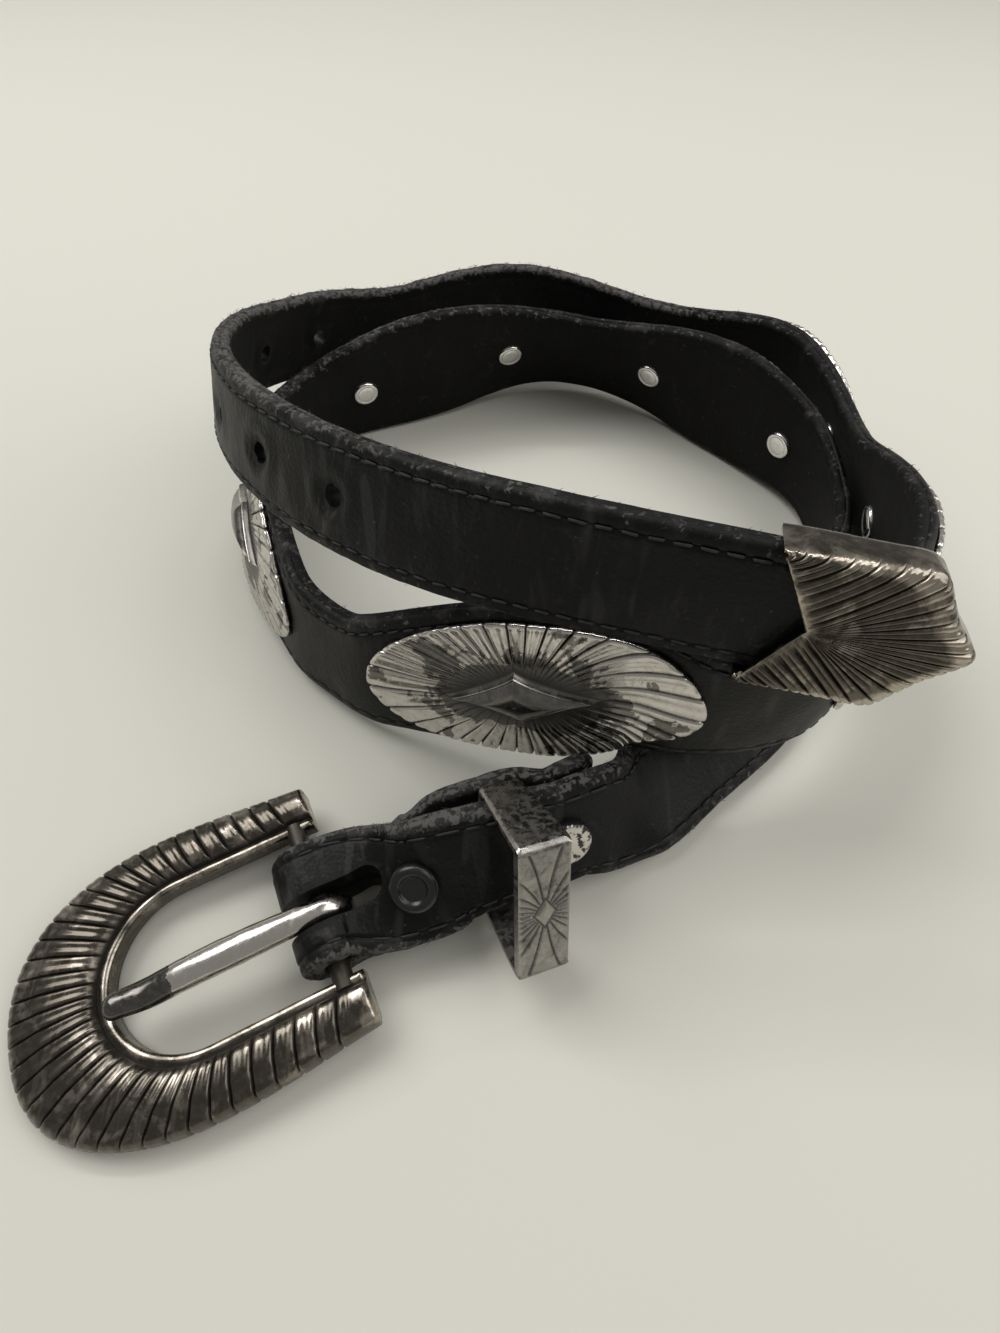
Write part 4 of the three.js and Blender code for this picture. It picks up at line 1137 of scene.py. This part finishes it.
def framePiece():
    places = ribPlaces(buckle["ribs"]) + [(1.0, 0.0)]
    count = len(places) - 1
    half, rib, rim = buckle["thickness"] / 2, buckle["ribDepth"], buckle["rim"]
    points, marks = [], dict(shine=[], groove=[])
    for i, turn in enumerate(frameTurns(places)):
        side = 1 if turn >= 0 else -1
        leaning = buckle["lean"] * smooth((abs(turn) - 0.2) / 0.35) * smooth((1 - abs(turn)) / 0.1)
        inner, _ = framePair(max(-1, min(1, turn + side * leaning)))
        _, outer = framePair(turn)
        p = places[i][1]
        endDrop = 1 - smooth(min(i, count - i) / 4)
        plain = smooth((min(i, count - i) - len(ribSamples) * 1.2) / 3)  # the arm's end has no ribs
        cut = grooveCut(p, 0.055) * plain
        swell = lerp(0.8, ribSwell(p), plain)
        span = (outer[0] - inner[0], outer[1] - inner[1])
        width = math.hypot(*span)
        tops = []
        for share in (0.0, 0.06, 0.16, 0.28, 0.42, 0.56, 0.68, 0.78, 0.86, 0.92, 0.965):
            d = lerp(rim + 0.45, width, share)
            rise = half * (1 - 0.1 * (1 - smooth(share / 0.3))) - 1.05 * smooth((share - 0.5) / 0.36)
            rise -= 1.5 * max(0, (share - 0.86) / 0.14) ** 1.5
            start = smooth((share + 0.02) / 0.12)
            h = rise - (1 - start) * 0.75 + start * (0.16 * swell - rib * cut)
            bright = 0.3 + 0.25 * bump(share - 0.12, 0.09) + 0.3 * bump(share - 0.8, 0.08) + 0.1 * swell
            bright += 0.3 * (1 - plain)
            dark = 0.92 * cut * start + 0.75 * (1 - start) * 0.5
            tops.append((d - 0.1 * cut * (share > 0.8), h, bright, dark))
        section = [(0.25, -half, 0.3, 0), (0.0, -half + 0.35, 0.3, 0), (0, 0.2 * half, 0.4, 0),
                   (0.1, 0.34 * half, 0.7, 0), (0.4, 0.44 * half, 0.9, 0), (0.85, 0.47 * half, 0.75, 0),
                   (rim - 0.3, 0.44 * half, 0.6, 0), (rim, 0.34 * half, 0.3, 0.5),
                   (rim + 0.22, 0.33 * half, 0.1, 0.9)]
        section += tops
        section += [(width - 0.55 * cut, -0.1 * half, 0.4, 0.5 * cut),
                    (width - 0.45 * cut, -0.55 * half, 0.4, 0.3 * cut),
                    (width - 0.3 * cut, -half + 0.35, 0.4, 0), (width - 0.4, -half, 0.4, 0),
                    (width * 0.5, -half, 0.3, 0)]
        for d, h, bright, groove in section:
            share = d / width * (1 - 0.13 * endDrop ** 2)
            h = h - endDrop * 0.7 if h > 0.3 * half else h
            at = fromBar(inner[0] + span[0] * share, inner[1] + span[1] * share + buckle["shift"], h)
            wave = rough(at.x, at.y, at.z, 3.5) * 0.06
            points.append(at + upright * wave * (h > 0))
            note(marks, bright + 0.4 * endDrop, groove)
    columns = len(points) // len(places)
    faces = gridFaces(len(places), columns, closeColumns=True)
    closeEnds(points, faces, columns, marks, shine=0.9, groove=0)
    ends = [fromBar(0, buckle["shift"] + end * (buckle["gap"] / 2 + 1.5), 0) for end in (-1, 1)]
    barPoints, barFaces = cylinderBetween(*ends, fold["bar"], buckle["barSides"])
    faces += shifted(barFaces, len(points))
    points += barPoints
    marks["shine"] += [0.0] * len(barPoints)
    marks["groove"] += [0.55] * len(barPoints)
    makePiece("ribbedBuckle", points, faces, buckleNickel, "buckle_frame", marks, 60,
              "buckle")


tongue = dict(radius=2.3, shift=1.6, steps=90, sides=24, uneven=0.03, flatness=0.88)


# A smooth value between rows a and b of a list, in column c
def hermite(before, a, b, after, t, c):
    m0 = (b[c] - before[c]) / max(b[0] - before[0], 1e-6) * (b[0] - a[0])
    m1 = (after[c] - a[c]) / max(after[0] - a[0], 1e-6) * (b[0] - a[0])
    return curve(a[c], b[c], m0, m1, t)


def tongueLine():
    ring = fold["bar"] + running
    reach = buckle["length"] - buckle["behindBar"] - buckle["bow"] - 0.6
    rest = buckle["thickness"] / 2 * 0.9 + clearance
    r0 = tongue["radius"]
    loop = ring + r0 * 0.68
    line = []
    for k in range(26):
        turn = math.radians(300 - 210 * k / 25)  # round the bar, from under it to the top
        line.append((loop * math.cos(turn), loop * math.sin(turn), 0.78 * r0, turn))
    rows = [(0.0, loop, 0, 0.8), (0.1, loop + 0.1, 0, 0.9), (0.25, 4.0, 0, 0.98), (0.42, 4.2, 0, 1.02),
            (0.64, 4.0, 0, 1.0), (0.82, 3.4, 0, 0.94), (0.94, rest + r0 * 0.86, 0, 0.82),
            (0.975, rest + r0 * 0.8, 0, 0.72), (0.993, rest + r0 * 0.74, 0, 0.5),
            (1.003, rest + r0 * 0.7, 0, 0.2)]
    for k in range(1, tongue["steps"] + 1):
        share = rows[-1][0] * (k / tongue["steps"]) ** 0.85
        i = max(j for j in range(len(rows) - 1) if rows[j][0] <= share + 1e-9)
        f = (share - rows[i][0]) / (rows[i + 1][0] - rows[i][0])
        before, after = rows[max(i - 1, 0)], rows[min(i + 2, len(rows) - 1)]
        height = hermite(before, rows[i], rows[i + 1], after, f, 1)
        radius = hermite(before, rows[i], rows[i + 1], after, f, 3) * r0
        line.append((share * reach, height, radius, math.pi / 2))
    return line, reach


def tonguePiece():
    line, reach = tongueLine()
    points, marks, sides = [], dict(shine=[], groove=[]), tongue["sides"]
    for u, h, radius, turn in line:
        for j in range(sides):
            around = 2 * math.pi * j / sides
            lump = 1 + tongue["uneven"] * rough(u, j * 1.3, h, 2.4)
            side = radius * lump * math.cos(around)
            high = radius * lump * tongue["flatness"] * math.sin(around)
            forward, up = u + high * math.cos(turn), h + high * math.sin(turn)
            points.append(fromBar(forward, side + tongue["shift"], up))
            worn = 1.15 - 1.35 * smooth((u / reach - 0.62) / 0.14)
            note(marks, worn - 0.2 * max(0, -math.sin(around)), 0)
    faces = gridFaces(len(line), sides, closeColumns=True)
    closeEnds(points, faces, sides, marks)
    makePiece("curvedTongue", points, faces, tongueSilver, "buckle_tongue", marks, 60,
              "tongue")


framePiece()
tonguePiece()
print("belt: buckle and tongue")


# Table, light and camera
table = dict(reach=1.6, under=0.0002, colour=(0.66, 0.655, 0.59, 1), roughness=0.85, shine=0.2)


def tableTop():
    material, tree, shader = newMaterial("paleTable")
    feed(tree, shader, {"Base Color": table["colour"], "Roughness": table["roughness"],
                        "Specular IOR Level": table["shine"]})
    mesh = bpy.data.meshes.new("paleTable")
    wide, low = table["reach"], -table["under"]
    mesh.from_pydata([(-wide, -wide, low), (wide, -wide, low), (wide, wide, low), (-wide, wide, low)], [],
                     [(0, 1, 2, 3)])
    mesh.materials.append(material)
    return addObject("paleTable", mesh)


def softLight(name, power, size, place, colour=(1, 1, 1)):
    light = bpy.data.lights.new(name, "AREA")
    light.shape = "RECTANGLE"
    light.size, light.size_y = size
    light.energy = power
    light.color = colour
    lamp = addObject(name, light)
    lamp.location = place
    aim = (Vector((0, 0, 0.02)) - Vector(place)).normalized()
    lamp.rotation_euler = aim.to_track_quat("-Z", "Y").to_euler()
    return lamp


floor = tableTop()
lamps = [
    softLight("windowLeft", 4.2, (0.5, 0.6), (-0.5, 0.3, 0.75), colour=(1, 0.985, 0.96)),
    softLight("windowRight", 3.9, (0.7, 0.9), (0.6, 0.0, 0.6), colour=(1, 0.98, 0.95)),
    softLight("stripAbove", 1.5, (0.8, 0.06), (0.0, 0.45, 0.75)),
]

world = bpy.data.worlds.new("room")
bpy.context.scene.world = world
world.use_nodes = True
background = world.node_tree.nodes["Background"]
background.inputs["Color"].default_value = (0.8, 0.79, 0.76, 1)
background.inputs["Strength"].default_value = 0.36

lens = bpy.data.cameras.new("view")
lens.lens = 18.9
lens.sensor_width = 36
lens.sensor_fit = "AUTO"
lens.clip_start = 0.005
camera = addObject("view", lens)
camera.location = (-0.005615, -0.095657, 0.1174)
camera.rotation_euler = (math.radians(35), 0, 0)
bpy.context.scene.camera = camera
bpy.context.scene.view_settings.view_transform = "Standard"
